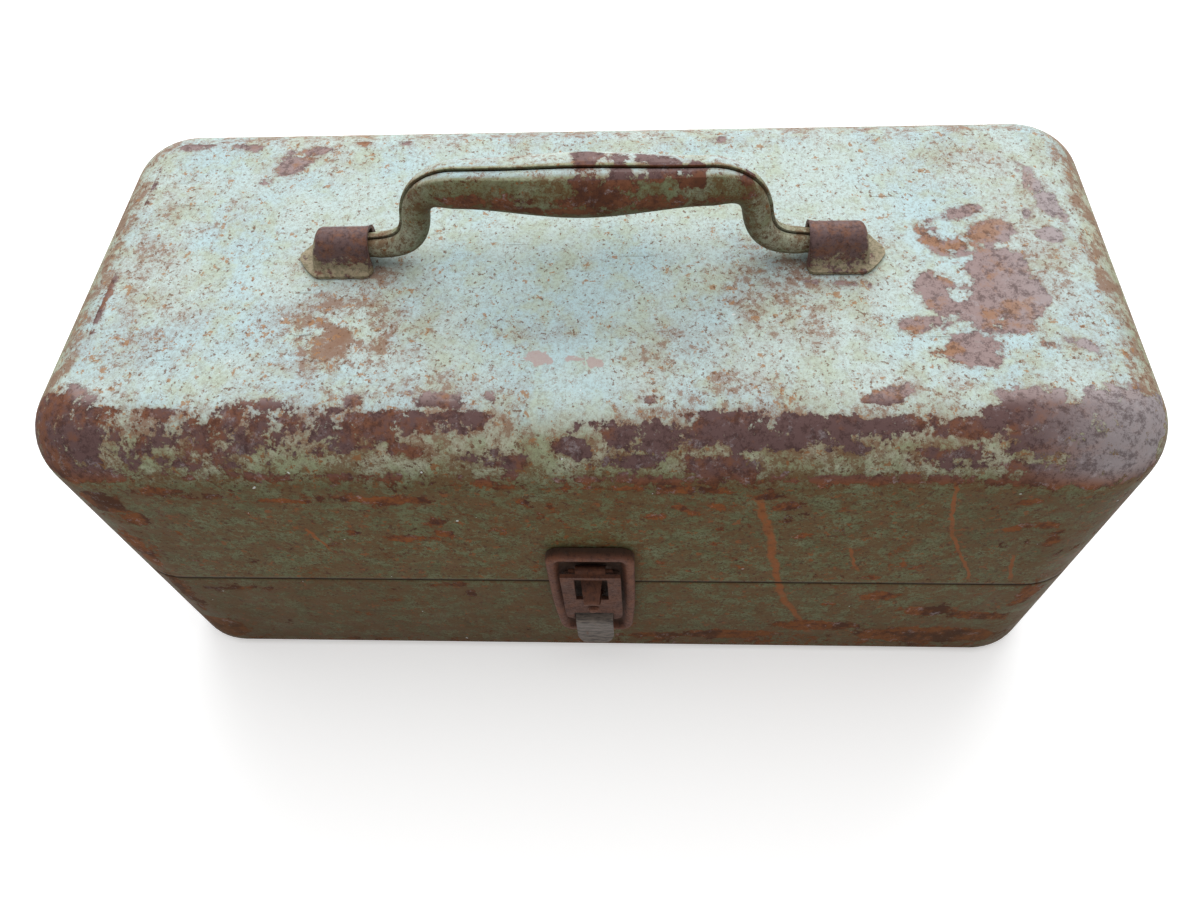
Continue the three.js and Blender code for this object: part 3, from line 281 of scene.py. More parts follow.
def base_object():
    """The base: a pressed bead underneath, a rounded foot and a rim inside its mouth."""
    deep = HALF_DEPTH - FLAT_MIDDLE
    bead, bead_width, bead_height, slope = 25.0, 7.0, 1.5, 1.5
    rim_outer = SHEET + RIM_CLEARANCE
    rim_inner = rim_outer + SHEET
    shelf = SEAM - TOUCH_GAP
    top = corners_mm("base_shell")[1][2]
    cut = 0.3
    underside = [(deep, 0), (bead + bead_width, 0), (bead + bead_width - slope, bead_height)]
    underside += [(bead + slope, bead_height), (bead, 0)]
    outside = arc(BOTTOM_RADIUS, BOTTOM_RADIUS, BOTTOM_RADIUS, 270, 180, 8)
    outside += [(0, shelf - cut), (cut, shelf), (rim_outer, shelf), (rim_outer, top - cut)]
    outside += [(rim_outer + cut, top), (rim_inner - cut, top), (rim_inner, top - cut)]
    outside += [(rim_inner, shelf - RIM_SHELF), (SHEET, shelf - RIM_SHELF)]
    inside = arc(BOTTOM_RADIUS, BOTTOM_RADIUS, BOTTOM_RADIUS - SHEET, 180, 270, 6)
    inside += [(inset, height + SHEET) for inset, height in reversed(underside)]
    section = fill_section(underside, COARSE_STEP) + fill_section(outside, MESH_STEP)
    section += fill_section([outside[-1], *inside], COARSE_STEP)[1:]
    return pan_object("base_sheet", section, HALF_LENGTH, HALF_DEPTH, PLAN_RADIUS)


def tray_object():
    """The tray: a pan with a small foot radius and a hem rolled outward at its mouth."""
    floor, top = TRAY_LOW[2], TRAY_HIGH[2]
    half_y = (TRAY_HIGH[1] - TRAY_LOW[1]) / 2
    centre_y = (TRAY_HIGH[1] + TRAY_LOW[1]) / 2
    radius, hem, hem_height, plan_radius = 4.0, 2.0, 5.0, 20.0
    deep = half_y - FLAT_MIDDLE
    outside = [(deep, floor), *arc(radius, floor + radius, radius, 270, 180, 6)]
    outside += [(0, top - hem / 2), *arc(hem / 2, top - hem / 2, hem / 2, 180, 0, 6)]
    outside += [(hem, top - hem_height), (SHEET, top - hem_height)]
    inside = arc(radius, floor + radius, radius - SHEET, 180, 270, 6) + [(deep, floor + SHEET)]
    section = fill_section(outside, COARSE_STEP) + fill_section([outside[-1], *inside], COARSE_STEP)[1:]
    return pan_object(
        "tray_sheet", section, TRAY_HIGH[0], half_y, plan_radius, centre_y, steps=10, step=COARSE_STEP
    )


def dent(obj, depth, size, seed):
    """Pushes a large sheet in a little here and there, so that it isn't perfectly flat."""
    points = points_mm(obj)
    x, y, z = points.T
    inward = np.abs(wave_noise(points, size, seed) * depth)
    # Full in the middle of each face and nothing at the corners and the top's edge.
    middle_x = 1 - smooth(np.abs(x), HALF_LENGTH - 75, HALF_LENGTH - 30)
    middle_y = 1 - smooth(np.abs(y), HALF_DEPTH - 45, HALF_DEPTH - 24)
    middle_z = smooth(z, SEAM + 12, SEAM + 40) * (1 - smooth(z, WALL_TOP - 22, WALL_TOP))
    on_top = z > WALL_TOP - 1
    wall_side = np.sign(y) * (np.abs(y) > HALF_DEPTH - 3)
    push = np.stack([0 * x, wall_side * middle_x * middle_z, 0.9 * middle_x * middle_y * on_top], 1)
    move_points(obj, points - push * inward[:, None])


# ---------------- wear, as fields on the sheets

# Places where the paint has gone from the lid's top: x, y, half length, half width, and an angle
# where the patch is turned.
TOP_PATCHES = [
    (143, 21, 7, 3.5, 10), (128, 9, 4, 8, 10), (151, 10, 10, 6, 15), (138, 2, 8, 5),
    (149, -12, 12, 15, -25), (157, -22, 8, 11), (146, -30, 14, 9, -10),
    (127, -20, 8, 10, 15), (118, -35, 8, 3.5, 10), (135, -46, 9, 8), (124, -48, 3, 3),
    (104, -66, 9, 4, 20), (176, 26, 4, 12, 15), (173, 8, 5, 4, -20), (172, 41, 2.4, 8, 20),
    (174, -45, 6, 2.4, -30), (168, 34, 2, 2), (166, 20, 2, 3), (160, -44, 2, 1.4),
    (-125, 53, 8, 5, 30), (-119, 62, 9, 2.4, 10), (-147, 66, 6, 2.4), (-98, 68, 4, 3),
    (-78, 67, 3, 2.4), (-135, 43, 2.4, 2), (-184, 40, 2.4, 14), (-183, -22, 3, 16),
    (-170, 68, 9, 3, 20), (53, 66, 3, 2), (60, 74, 5, 2), (31, 70, 4, 2),
    (-50, -67, 9, 3.5, -5), (-78, -67, 4, 3), (-31, -67, 3, 2), (95, -15, 4, 1, -5),
    (83, -14, 2, 1), (2, -73, 5, 2), (22, -67, 3, 1.6), (151, -71, 12, 9, -15),
    (-8, 76, 14, 1.6), (69, -71, 5, 1.6), (125, -71, 6, 2), (-111, -69, 8, 2),
]
# Islands of paint left inside those patches.
TOP_ISLANDS = [
    (140, 14, 8, 1.4, 20), (134, -21, 4, 4, 30), (142, -37, 5, 1.4, 40), (146, 3, 8, 1, 12),
    (131, 15, 6, 1.4), (144, -48, 2, 5), (138, -12, 2.4, 4, 10),
]
# Pale pink primer showing through.
PRIMER_PATCHES = [(-16, -49, 5, 3, -10), (-3, -49, 3.5, 2), (5, -51, 2.5, 2)]
# Brown stains: x, y, half length, half width, strength.
TOP_STAINS = [
    (-88, -38, 26, 20, 1.25), (-82, -24, 12, 9, 0.9), (-80, -8, 18, 9, 0.7), (78, -9, 26, 11, 0.9),
    (70, -30, 32, 22, 0.6), (30, -48, 16, 16, 0.6), (-5, -38, 26, 8, 0.4), (60, 2, 16, 12, 0.4),
    (-160, -35, 22, 22, 0.5), (-118, 58, 24, 14, 0.5), (-100, 0, 16, 16, 0.4), (44, -62, 26, 10, 0.7),
    (-150, 25, 25, 20, 0.3), (168, -10, 22, 60, 0.45), (-172, 0, 18, 60, 0.45), (112, -4, 10, 14, 0.4),
    (150, 50, 30, 16, 0.4), (-60, -62, 60, 8, 0.5), (110, -62, 40, 8, 0.5),
]
# Rust on the rounded front edge: x, distance down from the flat top, half length, half width.
EDGE_PATCHES = [
    (105, 12.5, 88, 3.4), (150, 9, 17, 13), (60, 15, 42, 5), (22, 16, 16, 5.5), (48, 10, 14, 3),
    (-50, 11, 20, 4), (-72, 14, 14, 6), (-105, 8, 24, 6), (-125, 16, 28, 6), (-160, 12, 26, 10),
    (-60, 21, 9, 2.4), (-28, 24, 13, 3), (-2, 20, 7, 4), (15, 25, 11, 3), (48, 27, 12, 5),
    (90, 20, 9, 1.6), (120, 22, 15, 2), (178, 14, 20, 18), (-184, 14, 18, 22), (-90, 20, 14, 2.4),
    (-115, 31.5, 78, 1.5), (100, 32, 90, 1.8), (30, 33, 32, 1.4), (-40, 34, 22, 1),
    (-178, 30, 24, 4), (167, 31, 28, 4), (8, 37, 38, 1), (-140, 26, 20, 2), (150, 26, 26, 1.6),
]
# Rust on the front wall: x, z, half length, half width, and an angle where the patch is turned.
FRONT_PATCHES = [
    (-178, 141, 8, 8), (-170, 128, 5, 5), (-152, 150, 9, 3), (-135, 146, 7, 2, 5),
    (-70, 144, 24, 2.4, -3), (-108, 143, 9, 1.6), (-57, 127, 5, 3, 25), (-70, 114, 12, 2.6, 4),
    (-55, 118, 4, 3), (-90, 119, 5, 1.4), (-12, 153, 16, 1.2), (38, 151, 14, 1.6),
    (35, 138, 8, 3, -25), (25, 132, 4, 2), (48, 140, 4, 1.4), (64, 148, 6, 2.4, 10),
    (71, 141, 5, 2, 10), (72, 129, 3.4, 2), (80, 118, 4, 2.6), (155, 125, 8, 1.4, 25),
    (166, 128, 4, 3), (172, 118, 3, 8), (-20, 140, 4, 1, -60), (10, 141, 2, 1),
    (111, 83, 5, 1.6), (91, 82, 2, 2), (126, 91, 3, 1.2, 40), (-181, 100, 4, 20),
    (-60, 72, 7, 1.6), (-52, 62, 1.8, 4, 20), (-90, 56, 3, 1.2), (143, 50, 11, 5),
    (120, 64, 8, 4), (165, 45, 14, 4), (180, 66, 5, 12), (98, 32, 20, 5),
    (60, 20, 26, 5), (30, 18, 20, 3), (150, 22, 34, 9), (-178, 22, 10, 12),
    (-181, 60, 4, 18), (100, 55, 3, 2), (20, 44, 2, 1.4), (-160, 67, 12, 2),
    (-36, 90, 2, 3, -20), (-23, 104, 1.4, 1), (-108, 40, 4, 1), (157, 145, 5, 2),
]
FRONT_STAINS = [
    (-150, 110, 60, 45, 0.6), (60, 140, 50, 14, 0.4), (-150, 45, 60, 40, 0.7), (110, 55, 80, 24, 0.6),
    (-20, 22, 210, 16, 0.8), (150, 110, 44, 50, 0.5), (-70, 118, 30, 16, 0.5), (70, 120, 30, 34, 0.4),
    (0, 74, 210, 4, 0.6), (0, 81, 210, 3, 0.6), (-180, 90, 14, 90, 0.9), (180, 90, 14, 90, 0.8),
    (0, 152, 210, 7, 0.6),
]
FAR = -12.0  # far outside any bare patch, in millimetres
MOST_EDGE_RUST = 1.3  # keeps paint islands inside the rust along the front edge


def patch_distance(u, v, patches):
    """Millimetres inside the nearest patch's edge; negative outside. A patch may have an angle."""
    field = np.full(len(u), FAR)
    for centre_u, centre_v, half_u, half_v, *angle in patches:
        turn = math.radians(sum(angle))
        du, dv = u - centre_u, v - centre_v
        along = (du * math.cos(turn) + dv * math.sin(turn)) / half_u
        across = (-du * math.sin(turn) + dv * math.cos(turn)) / half_v
        reach = np.sqrt(along**2 + across**2)
        field = np.maximum(field, (1 - reach) * min(half_u, half_v))
    return field


def stain_field(u, v, stains):
    total = np.zeros(len(u))
    for centre_u, centre_v, half_u, half_v, strength in stains:
        reach = ((u - centre_u) / half_u) ** 2 + ((v - centre_v) / half_v) ** 2
        total = np.maximum(total, strength * np.exp(-reach))
    return total


def edge_distance(points, normals):
    """Distance along the sheet, down from the lid's flat top over its rounded edge."""
    x, y, z = points.T
    flat = -np.minimum(HALF_DEPTH - TOP_RADIUS - np.abs(y), HALF_LENGTH - TOP_RADIUS - np.abs(x))
    turn = np.arccos(np.clip(normals[:, 2], 0, 1)) * TOP_RADIUS
    wall = TOP_RADIUS * math.pi / 2 + (WALL_TOP - z)
    return np.where(z < WALL_TOP, wall, np.where(z > HEIGHT - 0.6, np.minimum(flat, 0), turn))


def upright_corner(x, y):
    """1 along the box's four upright rounded corners and 0 away from them."""
    past_x = np.maximum(np.abs(x) - (HALF_LENGTH - PLAN_RADIUS - 9), 0)
    past_y = np.maximum(np.abs(y) - (HALF_DEPTH - PLAN_RADIUS - 5), 0)
    return smooth(np.hypot(past_x, past_y), 20, 36)


def largest(*fields):
    """The greatest of the fields at each point."""
    return functools.reduce(np.maximum, fields)


def lid_fields(obj):
    points, normals = points_mm(obj), normals_of(obj)
    x, y, z = points.T
    down = edge_distance(points, normals)
    on_wall = z < WALL_TOP
    on_front_wall = (z < WALL_TOP + 4) & (y < WALL_FRONT + 12)
    corner = upright_corner(x, y)
    ends = smooth(np.abs(x), HALF_LENGTH - 40, HALF_LENGTH - 14)
    back = smooth(y, HALF_DEPTH - TOP_RADIUS - 6, HALF_DEPTH - 8)

    top = np.minimum(patch_distance(x, y, TOP_PATCHES), -patch_distance(x, y, TOP_ISLANDS))
    most_edge_rust = MOST_EDGE_RUST - 1.2 * smooth(-x, 40, 110) + 1.2 * smooth(-x, 155, 185)
    past_front = 13 * smooth(y, WALL_FRONT + TOP_RADIUS - 4, WALL_FRONT + TOP_RADIUS + 24)
    # The other edges of the top are worn along the rounding, and so are the corners.
    worn_round = -2.2 - np.abs(down - 20) / 6 - 7 * (1 - np.maximum(ends, back))
    rust = largest(
        np.where(down < 6, top, FAR),
        np.minimum(patch_distance(x, down, EDGE_PATCHES), most_edge_rust) - past_front,
        np.where(on_front_wall, patch_distance(x, z, FRONT_PATCHES), FAR),
        np.where(down > -4, worn_round, FAR),
        -7.5 + 6.3 * corner * np.where(y < 0, 1.0, 0.5),
        -2.5 - (z - SEAM) / 2,
    )
    stain = largest(
        stain_field(x, y, TOP_STAINS) * (down < 8),
        stain_field(x, z, FRONT_STAINS) * on_front_wall,
        0.6 * smooth(down, -10, 12) * (1 - smooth(down, 44, 60)),
        0.25 * on_wall,
        0.8 * ends * smooth(down, -6, 10),
        0.8 * corner,
    )
    # Cleaner paint where a label once was, and towards the back on the right.
    label = smooth(14 - np.abs(x + 4), 0, 3) * smooth(20 - np.abs(y + 60), 0, 4)
    clean = smooth(y, 20, 60) * smooth(x, -20, 60)
    set_shell_fields(
        obj,
        faces_in(points, normals),
        rust=rust,
        stain=stain * (1 - 0.8 * label),
        speckle=0.5 + 0.35 * stain - 0.6 * label - 0.1 * clean,
        # How far the sheet turns from facing up, less towards the back; the materials paint the walls darker
        # by it, partly painted shade.
        side=np.arccos(np.clip(normals[:, 2], 0, 1)) / (math.pi / 2) * less_shade_behind(y),
        primer=patch_distance(x, y, PRIMER_PATCHES),
        # The walls darken towards the ends.
        grime=0.3 * smooth(np.abs(x), 100, 200) * on_wall,
    )


def base_fields(obj):
    points, normals = points_mm(obj), normals_of(obj)
    x, y, z = points.T
    on_front = y < WALL_FRONT + 12
    corner = upright_corner(x, y)
    low_right = smooth(x, -60, 60)
    rust = largest(
        np.where(on_front, patch_distance(x, z, FRONT_PATCHES), FAR),
        np.minimum((13 + 9 * low_right - z) / 5, 1.2) - 1.6,
        -7.5 + 6.0 * corner,
        -2.0 - (SEAM - z) / 2,
    )
    stain = largest(
        stain_field(x, z, FRONT_STAINS) * on_front, 0.32, 0.9 * (1 - smooth(z, 14, 34)), 0.85 * corner
    )
    # Painted shade: darker towards the bottom and the ends, less so on the right.
    grime = 0.26 + 0.26 * (1 - smooth(z, 0, 60)) + 0.22 * smooth(np.abs(x), 110, 200) - 0.16 * low_right
    set_shell_fields(
        obj, faces_in(points, normals), rust, stain, 0.6, less_shade_behind(y), primer=FAR, grime=grime
    )


def less_shade_behind(y):
    """1 at the front and less towards the back wall, which so takes less of the painted shade on the walls.
    """
    return 1 - 0.22 * smooth(y, 0, HALF_DEPTH - 6)


def faces_in(points, normals):
    """Whether a sheet's face looks into the box."""
    x, y, z = points.T
    outward = normals[:, 0] * x / HALF_LENGTH + normals[:, 1] * y / HALF_DEPTH
    outward = outward + normals[:, 2] * (z - HEIGHT / 2) / (HEIGHT / 2)
    return outward < 0


def set_shell_fields(obj, inside, rust, stain, speckle, side, primer, grime):
    """The wear of a shell: its outer face as given, and its inner face evenly stained and darkened."""
    set_fields(
        obj,
        rust=np.where(inside, -5.5, rust),
        stain=np.where(inside, 0.3, stain),
        speckle=np.clip(speckle, 0, 1),
        side=side,
        grime=np.where(inside, 0.35, grime),
        primer=np.where(inside, FAR, primer),
    )


# ---------------- materials

class Shader:
    """A material and short names for the nodes it is made of. Each gives the node's output."""

    def __init__(self, name):
        self.material = bpy.data.materials.new(name)
        self.material.use_nodes = True
        self.tree = self.material.node_tree
        self.surface = self.tree.nodes["Principled BSDF"]
        self.place = self.node("ShaderNodeTexCoord", {}, "Object")

    def node(self, kind, inputs, output, **settings):
        node = self.tree.nodes.new(kind)
        for key, value in settings.items():
            setattr(node, key, value)
        for key, value in inputs.items():
            self.connect(value, node.inputs[key])
        return node.outputs[output]

    def connect(self, source, socket):
        if isinstance(source, bpy.types.NodeSocket):
            self.tree.links.new(source, socket)
        else:
            socket.default_value = source

    def coordinate(self, axis):
        return self.node("ShaderNodeSeparateXYZ", {"Vector": self.place}, axis)

    def attribute(self, name):
        return self.node("ShaderNodeAttribute", {}, "Fac", attribute_name=name)

    def noise(self, size, detail=4.0, roughness=0.6, distortion=0.0, stretch=None, offset=0.0):
        """Noise with features of about the given size in millimetres."""
        place = self.place
        if stretch:
            place = self.node("ShaderNodeMapping", {"Scale": stretch, "Vector": place}, "Vector")
        inputs = {
            "Vector": place, "W": offset, "Scale": 1 / (size * MM),
            "Detail": detail, "Roughness": roughness, "Distortion": distortion,
        }
        return self.node("ShaderNodeTexNoise", inputs, "Fac", noise_dimensions="4D")

    def centred_noise(self, *size_and_detail, **settings):
        return self.math("SUBTRACT", self.noise(*size_and_detail, **settings), 0.5)

    def math(self, operation, a, b=0.0, c=0.0):
        return self.node("ShaderNodeMath", {0: a, 1: b, 2: c}, "Value", operation=operation)

    def times(self, a, b):
        return self.math("MULTIPLY", a, b)

    def scaled(self, value, scale, added):
        return self.math("MULTIPLY_ADD", value, scale, added)

    def step(self, value, low, high, out_low=0.0, out_high=1.0):
        """A smooth rise from out_low to out_high while the value goes from low to high."""
        inputs = {"Value": value, "From Min": low, "From Max": high, "To Min": out_low, "To Max": out_high}
        return self.node("ShaderNodeMapRange", inputs, "Result", interpolation_type="SMOOTHSTEP")

    def mix(self, share, first, second):
        inputs = {"Factor": share, "A": first, "B": second}
        return self.node("ShaderNodeMix", inputs, "Result", data_type="RGBA")

    def bump(self, height, strength, distance, below=None):
        inputs = {"Height": height, "Strength": strength, "Distance": distance * MM}
        if below is not None:
            inputs["Normal"] = below
        return self.node("ShaderNodeBump", inputs, "Normal")

    def finish(self, colour, roughness, normal=None, metallic=0.0, specular=0.5):
        self.connect(colour, self.surface.inputs["Base Color"])
        self.connect(roughness, self.surface.inputs["Roughness"])
        self.connect(metallic, self.surface.inputs["Metallic"])
        self.surface.inputs["Specular IOR Level"].default_value = specular
        if normal is not None:
            self.connect(normal, self.surface.inputs["Normal"])
        return self.material


PALE_MINT = (0.54, 0.65, 0.625, 1)
MINT_BLUE = (0.48, 0.64, 0.67, 1)
MINT_YELLOW = (0.48, 0.55, 0.43, 1)
ROLL_OLIVE = (0.32, 0.36, 0.22, 1)
ROLL_BEIGE = (0.47, 0.49, 0.37, 1)
OLIVE = (0.118, 0.131, 0.06, 1)
OLIVE_LIGHT = (0.17, 0.19, 0.112, 1)
OLIVE_BROWN = (0.07, 0.056, 0.018, 1)
GRAIN_BROWN = (0.22, 0.17, 0.115, 1)
STAIN_BROWN = (0.25, 0.13, 0.08, 1)
DARK_STAIN_AND_SHADE = (0.06, 0.034, 0.015, 1)
WALL_STAIN = (0.115, 0.055, 0.02, 1)
PAINTED_SHADE_DARK = (0.03, 0.02, 0.012, 1)
SPECK_BROWN = (0.17, 0.085, 0.05, 1)
SPECK_ORANGE = (0.36, 0.19, 0.09, 1)
RUST_PALE = (0.33, 0.245, 0.235, 1)
RUST_LILAC = (0.42, 0.385, 0.395, 1)
RUST_ORANGE = (0.34, 0.19, 0.12, 1)
RUST_MAUVE = (0.14, 0.082, 0.078, 1)
RUST_RED = (0.2, 0.085, 0.05, 1)
RUST_DARK = (0.045, 0.022, 0.02, 1)
WALL_RUST = (0.2, 0.068, 0.022, 1)
WALL_RUST_DARK = (0.07, 0.026, 0.014, 1)
RUN_ORANGE = (0.23, 0.075, 0.022, 1)
CLIP_TAN = (0.36, 0.30, 0.19, 1)
CLIP_OLIVE = (0.17, 0.155, 0.085, 1)
PRIMER_PINK = (0.46, 0.35, 0.33, 1)
WHITE_SPECK = (0.75, 0.78, 0.76, 1)


def rust_colour(s, side):
    """Mauve, orange and dark brown rust: paler where it faces up, partly a painted sheen, and darker on the
    walls, partly painted shade.
    """
    broad = s.noise(16, 5, 0.7, offset=2.1)
    fine = s.noise(3.0, 6, 0.85, offset=4.4)
    facing_up = s.mix(s.step(broad, 0.5, 0.6), RUST_PALE, RUST_ORANGE)
    on_edge = s.mix(s.step(broad, 0.47, 0.6), RUST_MAUVE, RUST_RED)
    on_wall = s.mix(s.step(broad, 0.46, 0.6), WALL_RUST, WALL_RUST_DARK)
    colour = s.mix(s.step(side, 0.0, 0.16), facing_up, on_edge)
    # Painted sheen: the rust turns a pale lilac towards the right end.
    right_end_sheen = s.step(s.coordinate("X"), 140 * MM, 185 * MM, 0, 0.7)
    colour = s.mix(right_end_sheen, colour, RUST_LILAC)
    colour = s.mix(s.step(side, 0.65, 0.95), colour, on_wall)
    dusty = s.noise(4.5, 5, 0.8, offset=5.5)
    colour = s.mix(s.step(dusty, 0.54, 0.66, 0, 0.4), colour, RUST_LILAC)
    return s.mix(s.step(fine, 0.47, 0.6, 0, 0.6), colour, RUST_DARK)


def rust_runs(s, runs):
    """Narrow rust runs down the front wall; each is a list of (x, z) from its top."""
    x, y, z = (s.coordinate(axis) for axis in "XYZ")
    wobble = s.times(s.centred_noise(7, 2, 0.6, offset=8.0), 4.5 * MM)
    total = 0.0
    for half_width, places in runs:
        xs, zs = zip(*reversed(places))
        foot, top = zs[0], zs[-1]
        x_low, width = min(xs) - 1, max(xs) - min(xs) + 2
        height = s.node(
            "ShaderNodeMapRange", {"Value": z, "From Min": foot * MM, "From Max": top * MM}, "Result"
        )
        curve = s.node("ShaderNodeFloatCurve", {"Value": height}, "Value")
        mapping = curve.node.mapping
        points = mapping.curves[0].points
        shares = [((pz - foot) / (top - foot), (px - x_low) / width) for px, pz in zip(xs, zs)]
        points[0].location, points[-1].location = shares[0], shares[-1]
        for share in shares[1:-1]:
            points.new(*share)
        mapping.update()
        middle = s.scaled(curve, width * MM, x_low * MM)
        away = s.math("ABSOLUTE", s.math("ADD", s.math("SUBTRACT", x, middle), wobble))
        line = s.step(away, half_width * 1.5 * MM, half_width * 0.6 * MM)
        below_top = s.step(z, (top + 1) * MM, (top - 2) * MM)
        above_foot = s.step(z, (foot - 2) * MM, (foot + 2) * MM)
        total = s.math("MAXIMUM", total, s.times(line, s.times(below_top, above_foot)))
    on_front = s.step(y, (WALL_FRONT + 6) * MM, (WALL_FRONT + 4) * MM)
    return s.times(total, on_front)


RUNS = [
    (1.4, [(61, 147), (65, 132), (69, 115), (72, 98), (75, 82), (80, 62), (88, 44), (96, 24)]),
    (0.7, [(127, 157), (130, 138), (135, 120), (142, 104), (149, 91), (152, 82)]),
    (0.7, [(162, 104), (165, 94), (168, 82)]),
    (0.6, [(100, 109), (103, 98), (106, 89)]),
    (0.6, [(-107, 122), (-105, 112), (-103, 104)]),
]


def paint_material(name, with_runs=False):
    """Old sea-green enamel over steel: stained, speckled, scratched and rusted through."""
    s = Shader(name)
    fields = ("rust", "stain", "speckle", "side", "grime", "primer")
    rust, stain, speckle, side, grime, primer = (s.attribute(name) for name in fields)

    # Paint tone by how the sheet faces: pale mint facing up, yellower over the rounding and dark olive on
    # the walls; the change from top to walls is partly painted light and shade, partly the paint's own
    # tones.
    broad = s.noise(60, 3, 0.55, offset=0.3)
    middle = s.noise(12, 6, 0.7, offset=1.3)
    top_paint = s.mix(s.step(broad, 0.42, 0.6), PALE_MINT, MINT_BLUE)
    top_paint = s.mix(s.step(middle, 0.44, 0.64, 0, 0.8), top_paint, MINT_YELLOW)
    roll_paint = s.mix(s.step(middle, 0.4, 0.6), ROLL_OLIVE, ROLL_BEIGE)
    streaks = s.noise(9, 7, 0.8, stretch=(0.7, 1, 1.2), offset=3.0)
    wall_paint = s.mix(s.step(middle, 0.42, 0.64, 0.1, 0.75), OLIVE, OLIVE_LIGHT)
    streaks = s.scaled(stain, 0.12, streaks)
    wall_paint = s.mix(s.step(streaks, 0.54, 0.66, 0, 0.5), wall_paint, OLIVE_BROWN)
    wall_paint = s.mix(s.step(broad, 0.5, 0.66, 0, 0.3), wall_paint, OLIVE_BROWN)
    colour = s.mix(s.step(side, 0.1, 0.5), top_paint, roll_paint)
    colour = s.mix(s.step(side, 0.55, 1.0), colour, wall_paint)

    # Fine dirt in the surface: more of it and darker on the walls, where the darker colour is partly painted
    # shade.
    grain = s.noise(1.1, 4, 0.85, offset=5.0)
    dirt = s.mix(s.step(side, 0.3, 1.0), GRAIN_BROWN, DARK_STAIN_AND_SHADE)
    dirt_share = s.times(s.step(grain, 0.45, 0.62), s.step(side, 0.3, 1.0, 0.44, 0.72))
    colour = s.mix(dirt_share, colour, dirt)

    # Brown stains, made of a soft tint and many small grains.
    cloud = s.noise(10, 5, 0.7, offset=6.0)
    stain_share = s.times(stain, s.step(cloud, 0.36, 0.6))
    granule = s.noise(2.6, 6, 0.85, offset=7.0)
    grains = s.step(s.scaled(stain_share, 0.2, granule), 0.565, 0.635)
    # Darker copies of the stain and speck colours where the sheet turns down: partly painted shade.
    turned_down = s.step(side, 0.2, 0.9)
    stain_colour = s.mix(turned_down, STAIN_BROWN, WALL_STAIN)
    colour = s.mix(s.times(stain_share, s.step(side, 0.5, 1.0, 0.62, 0.25)), colour, stain_colour)
    colour = s.mix(s.times(grains, 0.72), colour, stain_colour)

    # Scattered specks.
    orange_speck = s.mix(turned_down, SPECK_ORANGE, WALL_RUST)
    dark_speck = s.mix(turned_down, SPECK_BROWN, WALL_RUST_DARK)
    for size, threshold, offset, tint in ((3.4, 0.65, 11.0, orange_speck), (1.7, 0.63, 12.0, dark_speck)):
        spots = s.noise(size, 4, 0.65, offset=offset)
        share = s.step(s.scaled(speckle, 0.07, spots), threshold, threshold + 0.03)
        colour = s.mix(s.times(share, 0.8), colour, tint)
    white = s.step(s.noise(2.6, 1, 0.5, offset=21.0), 0.775, 0.795)
    colour = s.mix(s.times(white, 0.75), colour, WHITE_SPECK)

    # Fine scratches, and primer showing through.
    scratch = s.noise(3.0, 2, 0.6, stretch=(0.08, 1.6, 0.5), offset=30.0, distortion=0.15)
    colour = s.mix(s.step(scratch, 0.70, 0.74, 0, 0.45), colour, DARK_STAIN_AND_SHADE)
    primer_edge = s.scaled(s.centred_noise(5, 3, 0.6, offset=40.0), 9.0, primer)
    colour = s.mix(s.step(primer_edge, -0.2, 0.2, 0, 0.85), colour, PRIMER_PINK)

    # Bare rusted steel where the paint has flaked off, with scalloped and ragged edges.
    lobes = s.centred_noise(7, 3, 0.6, distortion=0.3, offset=50.0)
    ragged = s.centred_noise(2.0, 5, 0.75, offset=51.0)
    edge = s.scaled(lobes, 9.0, s.scaled(ragged, 7.0, rust))
    bare = s.step(edge, -0.15, 0.25)
    if with_runs:
        run_grain = s.step(s.noise(3, 4, 0.75, offset=60.0), 0.34, 0.48, 0.45, 0.95)
        colour = s.mix(s.times(rust_runs(s, RUNS), run_grain), colour, RUN_ORANGE)
    colour = s.mix(s.step(edge, -1.6, 0.0, 0, 0.4), colour, stain_colour)
    colour = s.mix(bare, colour, rust_colour(s, side))
    # Darkened by the field of dirt and painted shade: painted shade under the handle and towards the base's
    # bottom and ends, and an even darkening on the tray and on the shells' inner faces.
    colour = s.mix(grime, colour, DARK_STAIN_AND_SHADE)
    if with_runs:
        # A painted shadow along the seam, under the lid's lower edge.
        from_seam = s.math("ABSOLUTE", s.math("SUBTRACT", s.coordinate("Z"), SEAM * MM))
        colour = s.mix(s.step(from_seam, 1.4 * MM, 0.4 * MM, 0, 0.85), colour, PAINTED_SHADE_DARK)

    shine = s.step(middle, 0.3, 0.7, 0.5, 0.68)
    roughness = s.scaled(bare, 0.22, shine)
    normal = s.bump(s.math("SUBTRACT", 1.0, bare), 0.6, 0.22)
    normal = s.bump(s.noise(1.4, 4, 0.75, offset=70.0), 0.2, 0.3, below=normal)
    normal = s.bump(s.noise(28, 2, 0.5, offset=71.0), 0.12, 1.2, below=normal)
    return s.finish(colour, roughness, normal, specular=0.06)


PRESSED_BROWN = (0.115, 0.045, 0.027)
PRESSED_RED = (0.16, 0.056, 0.026)
PRESSED_DARK = (0.045, 0.022, 0.018)
PRESSED_WORN = (0.2, 0.15, 0.125)
PLATED = (0.13, 0.1, 0.08, 1)
PLATED_DARK = (0.036, 0.026, 0.02, 1)
PLATED_RUST = (0.13, 0.065, 0.04, 1)


